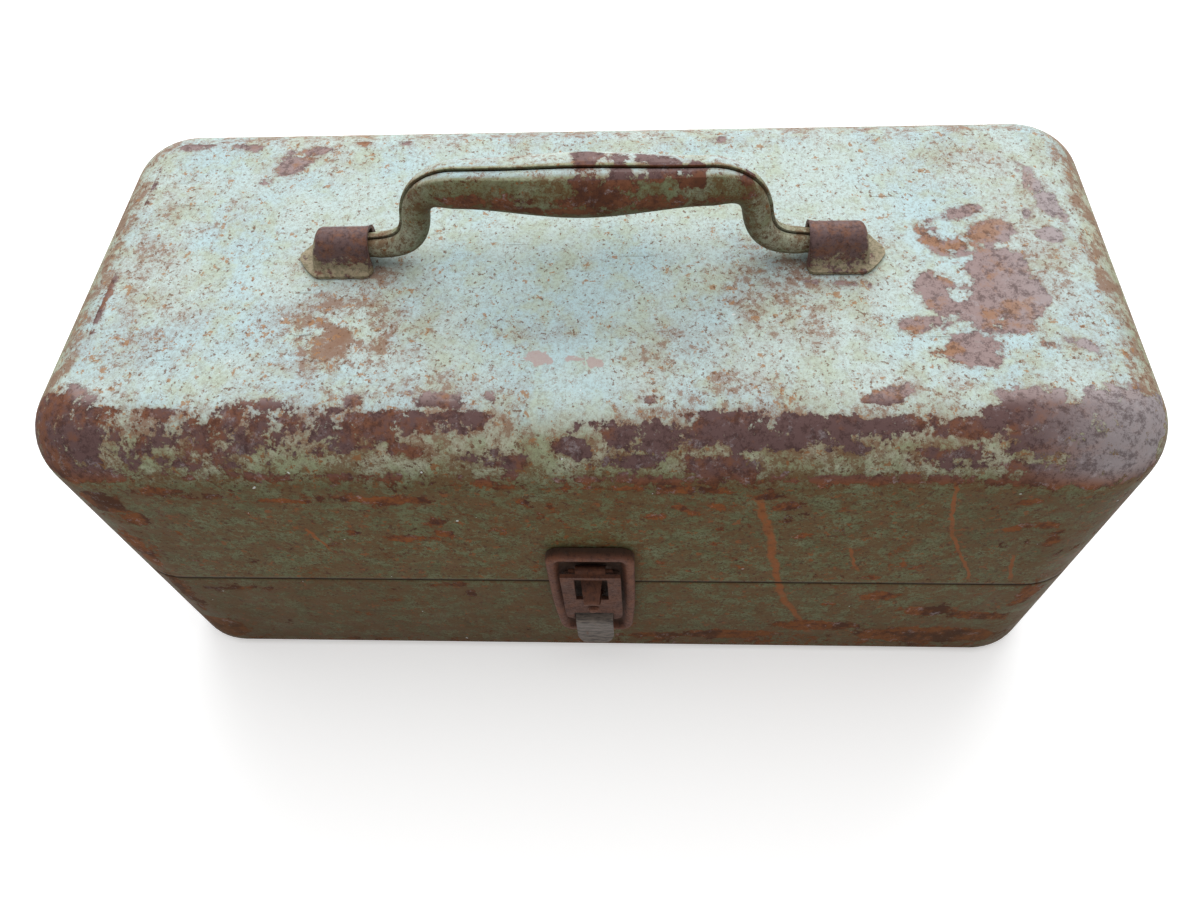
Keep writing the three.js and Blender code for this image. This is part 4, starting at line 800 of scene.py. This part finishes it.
def rusty_material(name, brightness, paint_share=0.0, shaded_hollow=False):
    """Heavily rusted pressed steel, pitted, with a little old paint left, and where asked painted shade near
    the front wall.
    """
    s = Shader(name)
    tone = s.noise(7, 5, 0.7, offset=1.0)
    fine = s.noise(1.4, 4, 0.75, offset=2.0)
    brown, red, dark, worn = (
        tuple(c * brightness for c in colour) + (1,)
        for colour in (PRESSED_BROWN, PRESSED_RED, PRESSED_DARK, PRESSED_WORN)
    )
    colour = s.mix(s.step(tone, 0.42, 0.62), brown, red)
    colour = s.mix(s.step(fine, 0.48, 0.68, 0, 0.7), colour, dark)
    colour = s.mix(s.step(s.noise(3.2, 4, 0.7, offset=5.0), 0.6, 0.72, 0, 0.5), colour, worn)
    if paint_share:
        left = s.noise(6, 5, 0.7, offset=9.0)
        colour = s.mix(s.step(left, 0.62 - paint_share, 0.7 - paint_share, 0, 0.8), colour, OLIVE_LIGHT)
    if shaded_hollow:
        # Painted shade in the latch's hollow, close to the front wall.
        near_wall = s.step(s.coordinate("Y"), (WALL_FRONT - 4.5) * MM, (WALL_FRONT - 1.5) * MM, 0, 0.7)
        colour = s.mix(near_wall, colour, PAINTED_SHADE_DARK)
    roughness = s.step(fine, 0.3, 0.7, 0.6, 0.85)
    return s.finish(colour, roughness, pitted(s, fine, 0.5), metallic=0.1, specular=0.3)


def pitted(s, fine, depth):
    """Fine pits over a slower unevenness."""
    pits = s.bump(fine, depth, 0.3)
    return s.bump(s.noise(6, 3, 0.6, offset=6.0), 0.25, 0.8, below=pits)


def clip_material():
    """A rusty strap with old tan-olive paint left on its flat edge and point."""
    s = Shader("rusted_clip")
    tone = s.noise(5, 6, 0.8, offset=1.0)
    fine = s.noise(1.8, 5, 0.85, offset=2.0)
    colour = s.mix(s.step(tone, 0.46, 0.6), RUST_MAUVE, RUST_RED)
    colour = s.mix(s.step(fine, 0.44, 0.66, 0, 0.75), colour, RUST_DARK)
    left = s.scaled(s.attribute("painted"), 0.3, s.noise(5, 6, 0.8, offset=9.0))
    paint = s.mix(s.step(fine, 0.42, 0.64), CLIP_TAN, CLIP_OLIVE)
    colour = s.mix(s.step(left, 0.66, 0.72, 0, 0.9), colour, paint)
    return s.finish(colour, s.step(fine, 0.3, 0.7, 0.5, 0.8), pitted(s, fine, 0.45), specular=0.35)


def worn_metal_material(name, rust_share):
    """Dull plated steel in lighter and darker streaks, with rust in between."""
    s = Shader(name)
    streak = s.noise(2.2, 4, 0.7, stretch=(0.5, 1, 3), offset=3.0)
    blotch = s.noise(6, 5, 0.7, offset=4.0)
    rusted = s.step(blotch, 0.62 - 0.2 * rust_share, 0.74 - 0.2 * rust_share)
    colour = s.mix(s.step(streak, 0.35, 0.65), PLATED, PLATED_DARK)
    colour = s.mix(rusted, colour, PLATED_RUST)
    metallic = s.math("SUBTRACT", 0.3, s.times(rusted, 0.25))
    roughness = s.scaled(rusted, 0.35, s.step(streak, 0.3, 0.7, 0.4, 0.55))
    normal = s.bump(s.noise(1.2, 4, 0.7, offset=6.0), 0.25, 0.2)
    return s.finish(colour, roughness, normal, metallic=metallic)


def floor_material():
    s = Shader("pale_floor")
    s.surface.inputs["Emission Color"].default_value = (1, 1, 1, 1)
    s.surface.inputs["Emission Strength"].default_value = 0.42
    return s.finish((0.88, 0.88, 0.88, 1), 0.8, specular=0.2)


def assign(obj, material):
    obj.data.materials.clear()
    obj.data.materials.append(material)


# ---------------- handle

PIVOT_Z = HEIGHT + 7.0
GRIP_RISE, GRIP_END_RISE, GRIP_HALF = 27.2, 28.3, 44.0
LEG_X, LEG_RISE, FOOT_X = 61.5, 15.0, 80.0
LEG_SLOPE = Vector((1.3, -8)).normalized()
END_X = corners_mm("handle")[1][0]
END_THICKNESS = 10.5
THICKNESS_AT = [(0, 22.4), (GRIP_HALF, 17.4), (LEG_X, 11.6), (FOOT_X, END_THICKNESS), (END_X, END_THICKNESS)]
TUBE_SHEET = 1.2
SEAM_ANGLE = math.radians(15)  # how far the tube's seam lies in front of its outer edge
SEAM_GAP = 0.35
ROLLED_EDGE = 0.75  # how deep the front edge of the seam is rolled in
LIP = 0.3  # how far the back edge stands over it
IN_CLIP_EASE = 0.35  # the tube is this much thinner inside its clips, so that it turns freely


def cubic(a, b, c, d, t):
    u = 1 - t
    return a * u**3 + b * 3 * u * u * t + c * 3 * u * t * t + d * t**3


def evenly(line, count):
    """Points at even distances along a line in a plane."""
    lengths = np.concatenate([[0], np.cumsum(np.hypot(*np.diff(line, axis=0).T))])
    wanted = np.linspace(0, lengths[-1], count)
    return np.stack([np.interp(wanted, lengths, line[:, k]) for k in (0, 1)], 1)


def headings(line):
    """The direction of a line in a plane at each of its points."""
    along = np.gradient(line, axis=0)
    return along / np.linalg.norm(along, axis=1)[:, None]


def handle_half_path(count):
    """Points and directions along half the handle's middle line, evenly spaced."""
    bend = LEG_RISE * 0.55
    grip_end = Vector((GRIP_HALF, GRIP_END_RISE))
    leg = Vector((LEG_X, LEG_RISE))
    foot = Vector((FOOT_X, 0))
    grip_middle = Vector((0, GRIP_RISE))
    grip_start = Vector((GRIP_HALF / 2, GRIP_RISE))
    curves = [
        (grip_middle, grip_start, Vector((GRIP_HALF * 0.75, GRIP_END_RISE)), grip_end),
        (grip_end, Vector((GRIP_HALF + bend * 1.4, GRIP_END_RISE)), leg - LEG_SLOPE * bend, leg),
        (leg, leg + LEG_SLOPE * bend * 1.25, Vector((FOOT_X - bend * 1.5, 0)), foot),
    ]
    fine = [cubic(*curve, i / 60) for curve in curves for i in range(60)]
    fine += [foot + Vector((END_X - FOOT_X, 0)) * (i / 20) for i in range(21)]
    even = evenly(np.array([tuple(p) for p in fine]), count)
    direction = headings(even)
    direction[0] = (1, 0)
    return even, direction


def handle_thickness(x):
    for (x0, t0), (x1, t1) in zip(THICKNESS_AT, THICKNESS_AT[1:]):
        if x <= x1 + 1e-6:
            return t0 + (t1 - t0) * float(smooth(x, x0, x1))
    return END_THICKNESS


def handle_row(x, radius, depth):
    """Across and outward places round the tube, from one edge of its seam to the other."""
    count = 44
    slit = SEAM_GAP / radius
    widening = 0.06 * max(1 - abs(x) / LEG_X, 0)
    row = []
    for i in range(count):
        share = i / (count - 1)
        angle = SEAM_ANGLE + slit + share * (2 * math.pi - 2 * slit)
        reach = radius - depth - LIP
        if depth == 0:
            from_seam = min(share, 1 - share) * 2 * math.pi * radius
            if share < 0.5:
                reach -= ROLLED_EDGE * math.exp(-((from_seam / 1.3) ** 2))
            else:
                reach += LIP * math.exp(-((from_seam / 2.5) ** 2)) - 0.12
        row.append((-reach * (1 + widening) * math.sin(angle), reach * math.cos(angle)))
    return row


def handle_object():
    """A folded sheet tube: its lapped seam runs along the outer edge, a little to the front."""
    even, direction = handle_half_path(110)
    line = np.concatenate([even[:0:-1] * (-1, 1), even])
    heading = np.concatenate([direction[:0:-1] * (1, -1), direction])
    sections = []
    for (x, rise), (along_x, along_z) in zip(line, heading):
        in_clip = float(smooth(abs(x), CLIP_LOW[0] - 3, CLIP_LOW[0]))
        radius = handle_thickness(abs(x)) / 2 - IN_CLIP_EASE * in_clip
        rows = [handle_row(x, radius, depth) for depth in (0, TUBE_SHEET)]
        height = PIVOT_Z + rise
        sections.append([[(x - along_z * out, y, height + along_x * out) for y, out in row] for row in rows])
    return sheet_object("handle_tube", sections, 50)


# Rust patches on the unrolled grip: x, distance down the front from the top, half sizes, and an
# angle where the patch is turned.
GRIP_PATCHES = [
    (2, 1, 5, 3), (14, 3, 5, 3), (27, 1, 8, 2.4), (38, 3, 5, 3), (-5, 8, 26, 1.2), (-40, 9, 12, 2),
    (-12, 12, 32, 1.6), (30, 10, 20, 2.4), (8, 7, 9, 3), (-30, -3, 9, 1), (22, -6, 8, 2),
    (44, -5, 6, 2), (-2, -8, 8, 1.6, 10), (60, 5, 5, 2),
]


def handle_fields(obj):
    points, normals = points_mm(obj), normals_of(obj)
    x, y, z = points.T
    top = PIVOT_Z + GRIP_RISE + 10
    down = np.where(y < 0, top - z, z - top)
    legs = smooth(np.abs(x), 54, 70)
    rust = np.minimum(patch_distance(x, down, GRIP_PATCHES), 1.2)
    # The strip behind the seam faces up: it is painted paler and less stained, a painted highlight, while
    # the front and legs are painted darker and the underside darker still, painted shade.
    lit_strip_behind_seam = smooth(normals[:, 2] + 0.2 * normals[:, 1], 0.6, 0.9) * (1 - legs)
    uneven = np.clip(0.75 + 0.6 * wave_noise(points, 9, 6), 0.2, 1.2)
    set_fields(
        obj,
        rust=np.maximum(rust, -5.0 + 1.2 * legs),
        stain=0.6 - 0.3 * lit_strip_behind_seam,
        speckle=0.35,
        side=0.85 - 0.75 * lit_strip_behind_seam - 0.2 * legs,
        grime=0.7 * uneven * smooth(-normals[:, 2], -0.1, 0.7),
        primer=FAR,
    )


# ---------------- handle clips

CLIP_SHEET = 1.2
CLIP_BULGE = END_THICKNESS / 2 + RIM_CLEARANCE + CLIP_SHEET
CLIP_SHOULDER_X, CLIP_CLOSED_X, CLIP_TAPER_X = 99.0, 104.0, 101.5


def clip_height(off_middle, bulge, foot, height):
    """Height of the clip's sheet above the lid, so far from its middle line."""
    side = off_middle / bulge
    if side >= 1:
        return foot + 1.4 * math.exp((bulge - off_middle) / 0.9) * height
    top = (7.0 - TOUCH_GAP + bulge * math.sqrt(1 - side**2)) * height
    # The bulge runs out into the flat edge in a soft curve.
    soft = 1.1
    above = top - foot
    blend = soft * math.log1p(math.exp(min(above / soft, 30)))
    return foot + blend - soft * math.log(2) * math.exp(-((above / 3) ** 2))


def clip_object(name, sign):
    """A strap bulged over the handle's end: flat edges front and back, and a pointed outer end."""
    inner_x, tip_x = CLIP_LOW[0], CLIP_HIGH[0]
    closing_length = CLIP_CLOSED_X - CLIP_SHOULDER_X
    xs = list(np.linspace(inner_x, CLIP_SHOULDER_X, 16))
    xs += [CLIP_SHOULDER_X + math.sin(math.radians(a)) * closing_length for a in range(8, 91, 8)]
    xs += [CLIP_CLOSED_X + 0.4, *np.linspace(CLIP_CLOSED_X + 1, tip_x, 9)]
    sections = []
    for x in xs:
        closing = min(max((x - CLIP_SHOULDER_X) / closing_length, 0), 1)
        height = math.sqrt(1 - closing**2)
        flare = 0.55 * math.exp(-(((x - inner_x) / 1.3) ** 2))
        inner_round = 3.0 - math.sqrt(max(9.0 - max(inner_x + 3 - x, 0) ** 2, 0))
        taper = min(max((x - CLIP_TAPER_X) / (tip_x - CLIP_TAPER_X), 0), 1)
        width = CLIP_HIGH[1] - inner_round - (CLIP_HIGH[1] - 1.2) * taper**1.6
        rows = []
        for depth in (0.0, CLIP_SHEET):
            ys = [width * share for share in np.linspace(-1, 1, 33)]
            bulge, foot = CLIP_BULGE - depth + flare, CLIP_SHEET - depth
            zs = [HEIGHT + TOUCH_GAP + clip_height(abs(y), bulge, foot, height) for y in ys]
            rows.append([(sign * x, y, z) for y, z in zip(ys, zs)])
        sections.append(rows)
    return sheet_object(name, sections, 60)


def clip_fields(obj):
    x, y, z = points_mm(obj).T
    past_bulge = smooth(np.abs(x), 98, 104)
    flange = 1 - smooth(z, HEIGHT + 2.5, HEIGHT + 4.5)
    set_fields(obj, painted=np.maximum(past_bulge, 0.75 * flange))


# ---------------- latch

PAN_STAND = 5.0  # how far the pan's border stands out from the wall
PAN_BORDER = 5.0
PAN_SHEET = 1.1


def latch_pan_object():
    """A dished plate with a raised round border and a slot at its bottom."""
    half_x = PAN_HIGH[0]
    low, high = PAN_LOW[2], PAN_HIGH[2]
    half_z, centre_z = (high - low) / 2, (high + low) / 2
    top, border, floor, sheet = PAN_STAND, PAN_BORDER, 1.6, PAN_SHEET
    front = [(half_x - 2.0, floor), (border + 1.6, floor), (border + 0.6, floor + 0.25)]
    front += [(border - 0.1, floor + 1.0), (border - 0.8, floor + 2.1), (3.4, top - 0.35)]
    front += [(2.5, top), (1.6, top - 0.15), *arc(1.6, top - 1.75, 1.6, 100, 180, 6), (0, TOUCH_GAP)]
    back = [(sheet, TOUCH_GAP), (sheet, top - 2.0), (1.9, top - sheet), (2.6, top - sheet)]
    back += [(border - 1.6, floor + 0.3), (border - 0.3, floor - sheet), (half_x - 2.0, floor - sheet)]
    section = fill_section(front, 1.5) + fill_section(back, 3)
    obj = pan_object("latch_pan_plate", section, half_x, half_z, 6.0, steps=10, step=2.0)
    points = points_mm(obj)
    # From lying flat to standing against the front wall.
    x, up, out = points.T
    z = up + centre_z
    below = np.maximum(0, SEAM - z) / (SEAM - low)
    standing = np.stack([x * (1 - 0.12 * below**2), WALL_FRONT - out, z], 1)
    move_points(obj, standing)
    face_out(obj)
    carve(obj, box_object((-6, WALL_FRONT - 9, low - 1), (6, WALL_FRONT + 1, SEAM - 19)))
    face_out(obj)
    sharpen(obj, 40)
    return obj


def strip_object(name, curves, count, half_width, sheet, crown):
    """A bent strap along curves of (out from the wall, height above the seam).

    Its edges are rounded, and its faces are crowned across. The half width is a function of the
    share of its length, from 0 to 1.
    """
    fine = np.array([tuple(cubic(*map(Vector, curve), i / 30)) for curve in curves for i in range(31)])
    apart = np.hypot(*np.diff(fine, axis=0).T) > 1e-6
    places = evenly(fine[np.concatenate([[True], apart])], count)
    sections = []
    for k, ((out, rise), (along_out, along_rise)) in enumerate(zip(places, headings(places))):
        half = half_width(k / (count - 1))
        rows = []
        for offset in (sheet / 2, -sheet / 2):
            row = []
            for t in np.linspace(-1, 1, 9):
                lift = offset * (1 - 0.55 * abs(t) ** 8) - crown * t * t
                row.append((half * t, WALL_FRONT - out - along_rise * lift, SEAM + rise - along_out * lift))
            rows.append(row)
        sections.append(rows)
    return sheet_object(name, sections, 50)


def latch_staple_object():
    """The padlock staple: a strap whose middle is folded out to a blunt nose."""
    foot, nose_out, nose_rise = 2.4, 11.5, 3.2
    reach = (nose_out - foot) / 2
    upper, lower = (nose_out - 1, nose_rise + 2), (nose_out - 2, nose_rise - 2)
    curves = [
        ((foot, 15.4), (foot, 14.7), (foot, 14.0), (foot, 13.4)),
        ((foot, 13.4), (foot, 10.4), (foot + reach, upper[1] + reach), upper),
        (upper, (nose_out + 1, nose_rise), (nose_out, nose_rise - 2), lower),
        (lower, (foot + reach, nose_rise - 2.5), (foot, -1), (foot, -4)),
        ((foot, -4), (foot, -4.8), (foot, -5.6), (foot, -6.5)),
    ]
    return strip_object(
        "latch_staple_strap", curves, 56, lambda share: 3.1 + 1.9 * abs(2 * share - 1), 1.0, 0.25
    )


def thumb_tab_object():
    """The lever's thumb tab: a strap that steps out through the notch and curls at its tip."""
    foot, face = 5.2, 9.6
    curves = [
        ((foot, -4), (foot, -7), (foot, -10.5), (foot, -13.8)),
        ((foot, -13.8), (foot, -19.4), (face, -16.2), (face, -21.8)),
        ((face, -21.8), (face, -27.8), (face, -33), (11.4, -38)),
    ]
    return strip_object(
        "thumb_tab_strip", curves, 52, lambda share: 7.9 - 2.4 * max((share - 0.85) / 0.15, 0) ** 2, 1.4, 0.3
    )


# ---------------- rivets

SHANK_RADIUS, HOLE_RADIUS, TAIL, HEAD_HEIGHT = 2.6, 1.6, 1.2, 1.5


def rivet_object(node, axis, head_sign, head_radius):
    """A fine domed rivet in the place of a CAD rivet: its profile turned round its axis."""
    low, high = corners_mm(node)
    middle = (low + high) / 2
    start, end = (low[axis], high[axis]) if head_sign > 0 else (high[axis], low[axis])
    length = abs(end - start)
    grip = length - HEAD_HEIGHT
    edge = grip + 0.25
    profile = [(SHANK_RADIUS - 0.4, 0), (SHANK_RADIUS, 0.3), (SHANK_RADIUS, TAIL - 0.1)]
    profile += [(HOLE_RADIUS, TAIL), (HOLE_RADIUS, grip), (head_radius - 0.1, grip), (head_radius, edge)]
    for turn in map(math.radians, range(15, 90, 15)):
        profile.append((head_radius * math.cos(turn), edge + (length - edge) * math.sin(turn)))
    around = 28
    turns = [2 * math.pi * i / around for i in range(around)]
    points = [(0, 0, 0), *((r * math.cos(a), r * math.sin(a), h) for r, h in profile for a in turns)]
    points.append((0, 0, length))
    faces = [tuple(1 + i for i in face) for face in ring_faces(len(profile), around)]
    last = 1 + (len(profile) - 1) * around
    faces += [(0, 1 + (i + 1) % around, 1 + i) for i in range(around)]
    faces += [(len(points) - 1, last + i, last + (i + 1) % around) for i in range(around)]
    # The profile's height becomes the rivet's own axis.
    placed = np.roll(points, axis + 1, axis=1) * [head_sign if k == axis else 1 for k in range(3)]
    middle[axis] = start
    obj = mesh_object(node + "_round", placed + middle, faces)
    face_out(obj)
    sharpen(obj, 45)
    return obj


# ---------------- build

def stand_for(obj, material, body, node):
    """Puts a finished piece in the place of a CAD node, on its body and with its slot."""
    assign(obj, material)
    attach(obj, body)
    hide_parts(node)


SIDES = (("left", -1), ("right", 1))
wall_paint = paint_material("old_green_enamel", with_runs=True)
plain_paint = paint_material("old_green_enamel_plain")
rusty = rusty_material("rusted_steel", brightness=0.95, shaded_hollow=True)
clip_steel = clip_material()
dark_rust = rusty_material("dark_rusted_steel", brightness=0.7, shaded_hollow=True)
worn = worn_metal_material("worn_steel", rust_share=0.7)
bright = worn_metal_material("rubbed_steel", rust_share=0.25)

lid = lid_object()
dent(lid, 0.55, 90, 3)
lid_fields(lid)
stand_for(lid, wall_paint, "lid", "lid_shell")

base = base_object()
base_fields(base)
stand_for(base, wall_paint, "base", "base_shell")

tray = tray_object()
below_rim = TRAY_HIGH[2] - points_mm(tray)[:, 2]
tray_rust = np.maximum(-1.8 - below_rim / 3, -5.0)
set_fields(tray, rust=tray_rust, stain=0.35, speckle=0.25, side=0.66, grime=0.1, primer=FAR)
stand_for(tray, plain_paint, "tray", "tray_shell")

handle = handle_object()
handle_fields(handle)
stand_for(handle, plain_paint, "handle", "handle")

for side_name, sign in SIDES:
    clip = clip_object("clip_strap_" + side_name, sign)
    clip_fields(clip)
    stand_for(clip, clip_steel, "lid", "handle_clip_" + side_name)

stand_for(latch_pan_object(), rusty, "lid", "latch_pan")
stand_for(latch_staple_object(), dark_rust, "lid", "latch_staple")
stand_for(thumb_tab_object(), bright, "latch", "latch_thumb_tab")

# Rivets: node, axis, side of the head, head's radius, body.
rivets = []
for side_name, sign in SIDES:
    rivets += [
        (f"arm_base_rivet_{side_name}", 0, sign, 3.2, "base"),
        (f"lid_tray_rivet_{side_name}", 0, sign, 3.2, "lid"),
        (f"arm_tray_rivet_{side_name}", 0, sign, 2.6, "tray"),
    ]
for number in range(1, 5):
    rivets += [(f"hinge_{body}_rivet_{number}", 1, 1, 3.2, body) for body in ("base", "lid")]
for node, axis, sign, radius, body in rivets:
    stand_for(rivet_object(node, axis, sign, radius), worn, body, node)

# CAD pieces that keep their shape get softer edges and their own material.
kept = {
    "latch_lever": (dark_rust, 0.35), "latch_pin": (dark_rust, 0.2), "latch_tab_rivet": (rusty, 0.2),
    "latch_keeper": (rusty, 0.25), "latch_keeper_rivet": (rusty, 0.2),
}
for side_name, sign in SIDES:
    kept["latch_pan_rivet_" + side_name] = (rusty, 0.2)
    for name, width in (
        ("tray_arm", 0.3), ("arm_spacer", 0.2), ("tray_spacer", 0.2),
        ("hinge_base_leaf", 0.25), ("hinge_lid_leaf", 0.25), ("hinge_pin", 0.2),
    ):
        kept[f"{name}_{side_name}"] = (worn, width)
tray_steel = rusty_material("tray_divider_paint", brightness=1.6, paint_share=0.24)
for node in ["tray_long_divider"] + [f"tray_cross_divider_{i}" for i in (1, 2, 3)]:
    kept[node] = (tray_steel, 0.2)
for node, (material, width) in kept.items():
    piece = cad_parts[node]
    assign(piece, material)
    bevel(piece, width)

# ---------------- floor, light and camera

FLOOR_REACH = 12000
corners = [(x * FLOOR_REACH, y * FLOOR_REACH, 0) for x, y in ((-1, -1), (1, -1), (1, 1), (-1, 1))]
floor = mesh_object("floor", corners, [(0, 1, 2, 3)])
assign(floor, floor_material())


def area_light(name, place, target, size, power, colour=(1, 1, 1)):
    """A rectangular light; its place, target and size are in metres."""
    data = bpy.data.lights.new(name, "AREA")
    data.shape = "RECTANGLE"
    data.size, data.size_y = size
    data.energy = power
    data.color = colour
    light = bpy.data.objects.new(name, data)
    light.location = place
    light.rotation_euler = (Vector(target) - Vector(place)).to_track_quat("-Z", "Y").to_euler()
    bpy.context.scene.collection.objects.link(light)


area_light("back_window", (0.1, 1.5, 1.35), (0, 0, 0.1), (2.6, 1.3), 36, (0.97, 0.99, 1.0))
area_light("top_panel", (0.0, 0.25, 2.0), (0, 0, 0), (2.2, 1.6), 20)

world = bpy.data.worlds.new("studio")
bpy.context.scene.world = world
world.use_nodes = True
background = world.node_tree.nodes["Background"]
background.inputs["Color"].default_value = (1, 1, 1, 1)
background.inputs["Strength"].default_value = 0.38
bpy.context.scene.view_settings.view_transform = "Standard"

# In front of the box and high above it, looking down at its front and top.
CAMERA_PLACE = Vector((22.9, -249.5, 425.6)) * MM
YAW, PITCH, ROLL = math.radians(-5.56), math.radians(57.0), math.radians(-4.61)
camera_data = bpy.data.cameras.new("camera")
camera_data.sensor_width = 36.0
camera_data.lens = 27.47
camera = bpy.data.objects.new("camera", camera_data)
forward = Vector((math.sin(YAW) * math.cos(PITCH), math.cos(YAW) * math.cos(PITCH), -math.sin(PITCH)))
level = Vector((math.cos(YAW), -math.sin(YAW), 0))
upright = level.cross(forward)
right = level * math.cos(ROLL) + upright * math.sin(ROLL)
up = upright * math.cos(ROLL) - level * math.sin(ROLL)
turn = Matrix((right, up, -forward)).transposed().to_4x4()
camera.matrix_world = Matrix.Translation(CAMERA_PLACE) @ turn
bpy.context.scene.collection.objects.link(camera)
bpy.context.scene.camera = camera
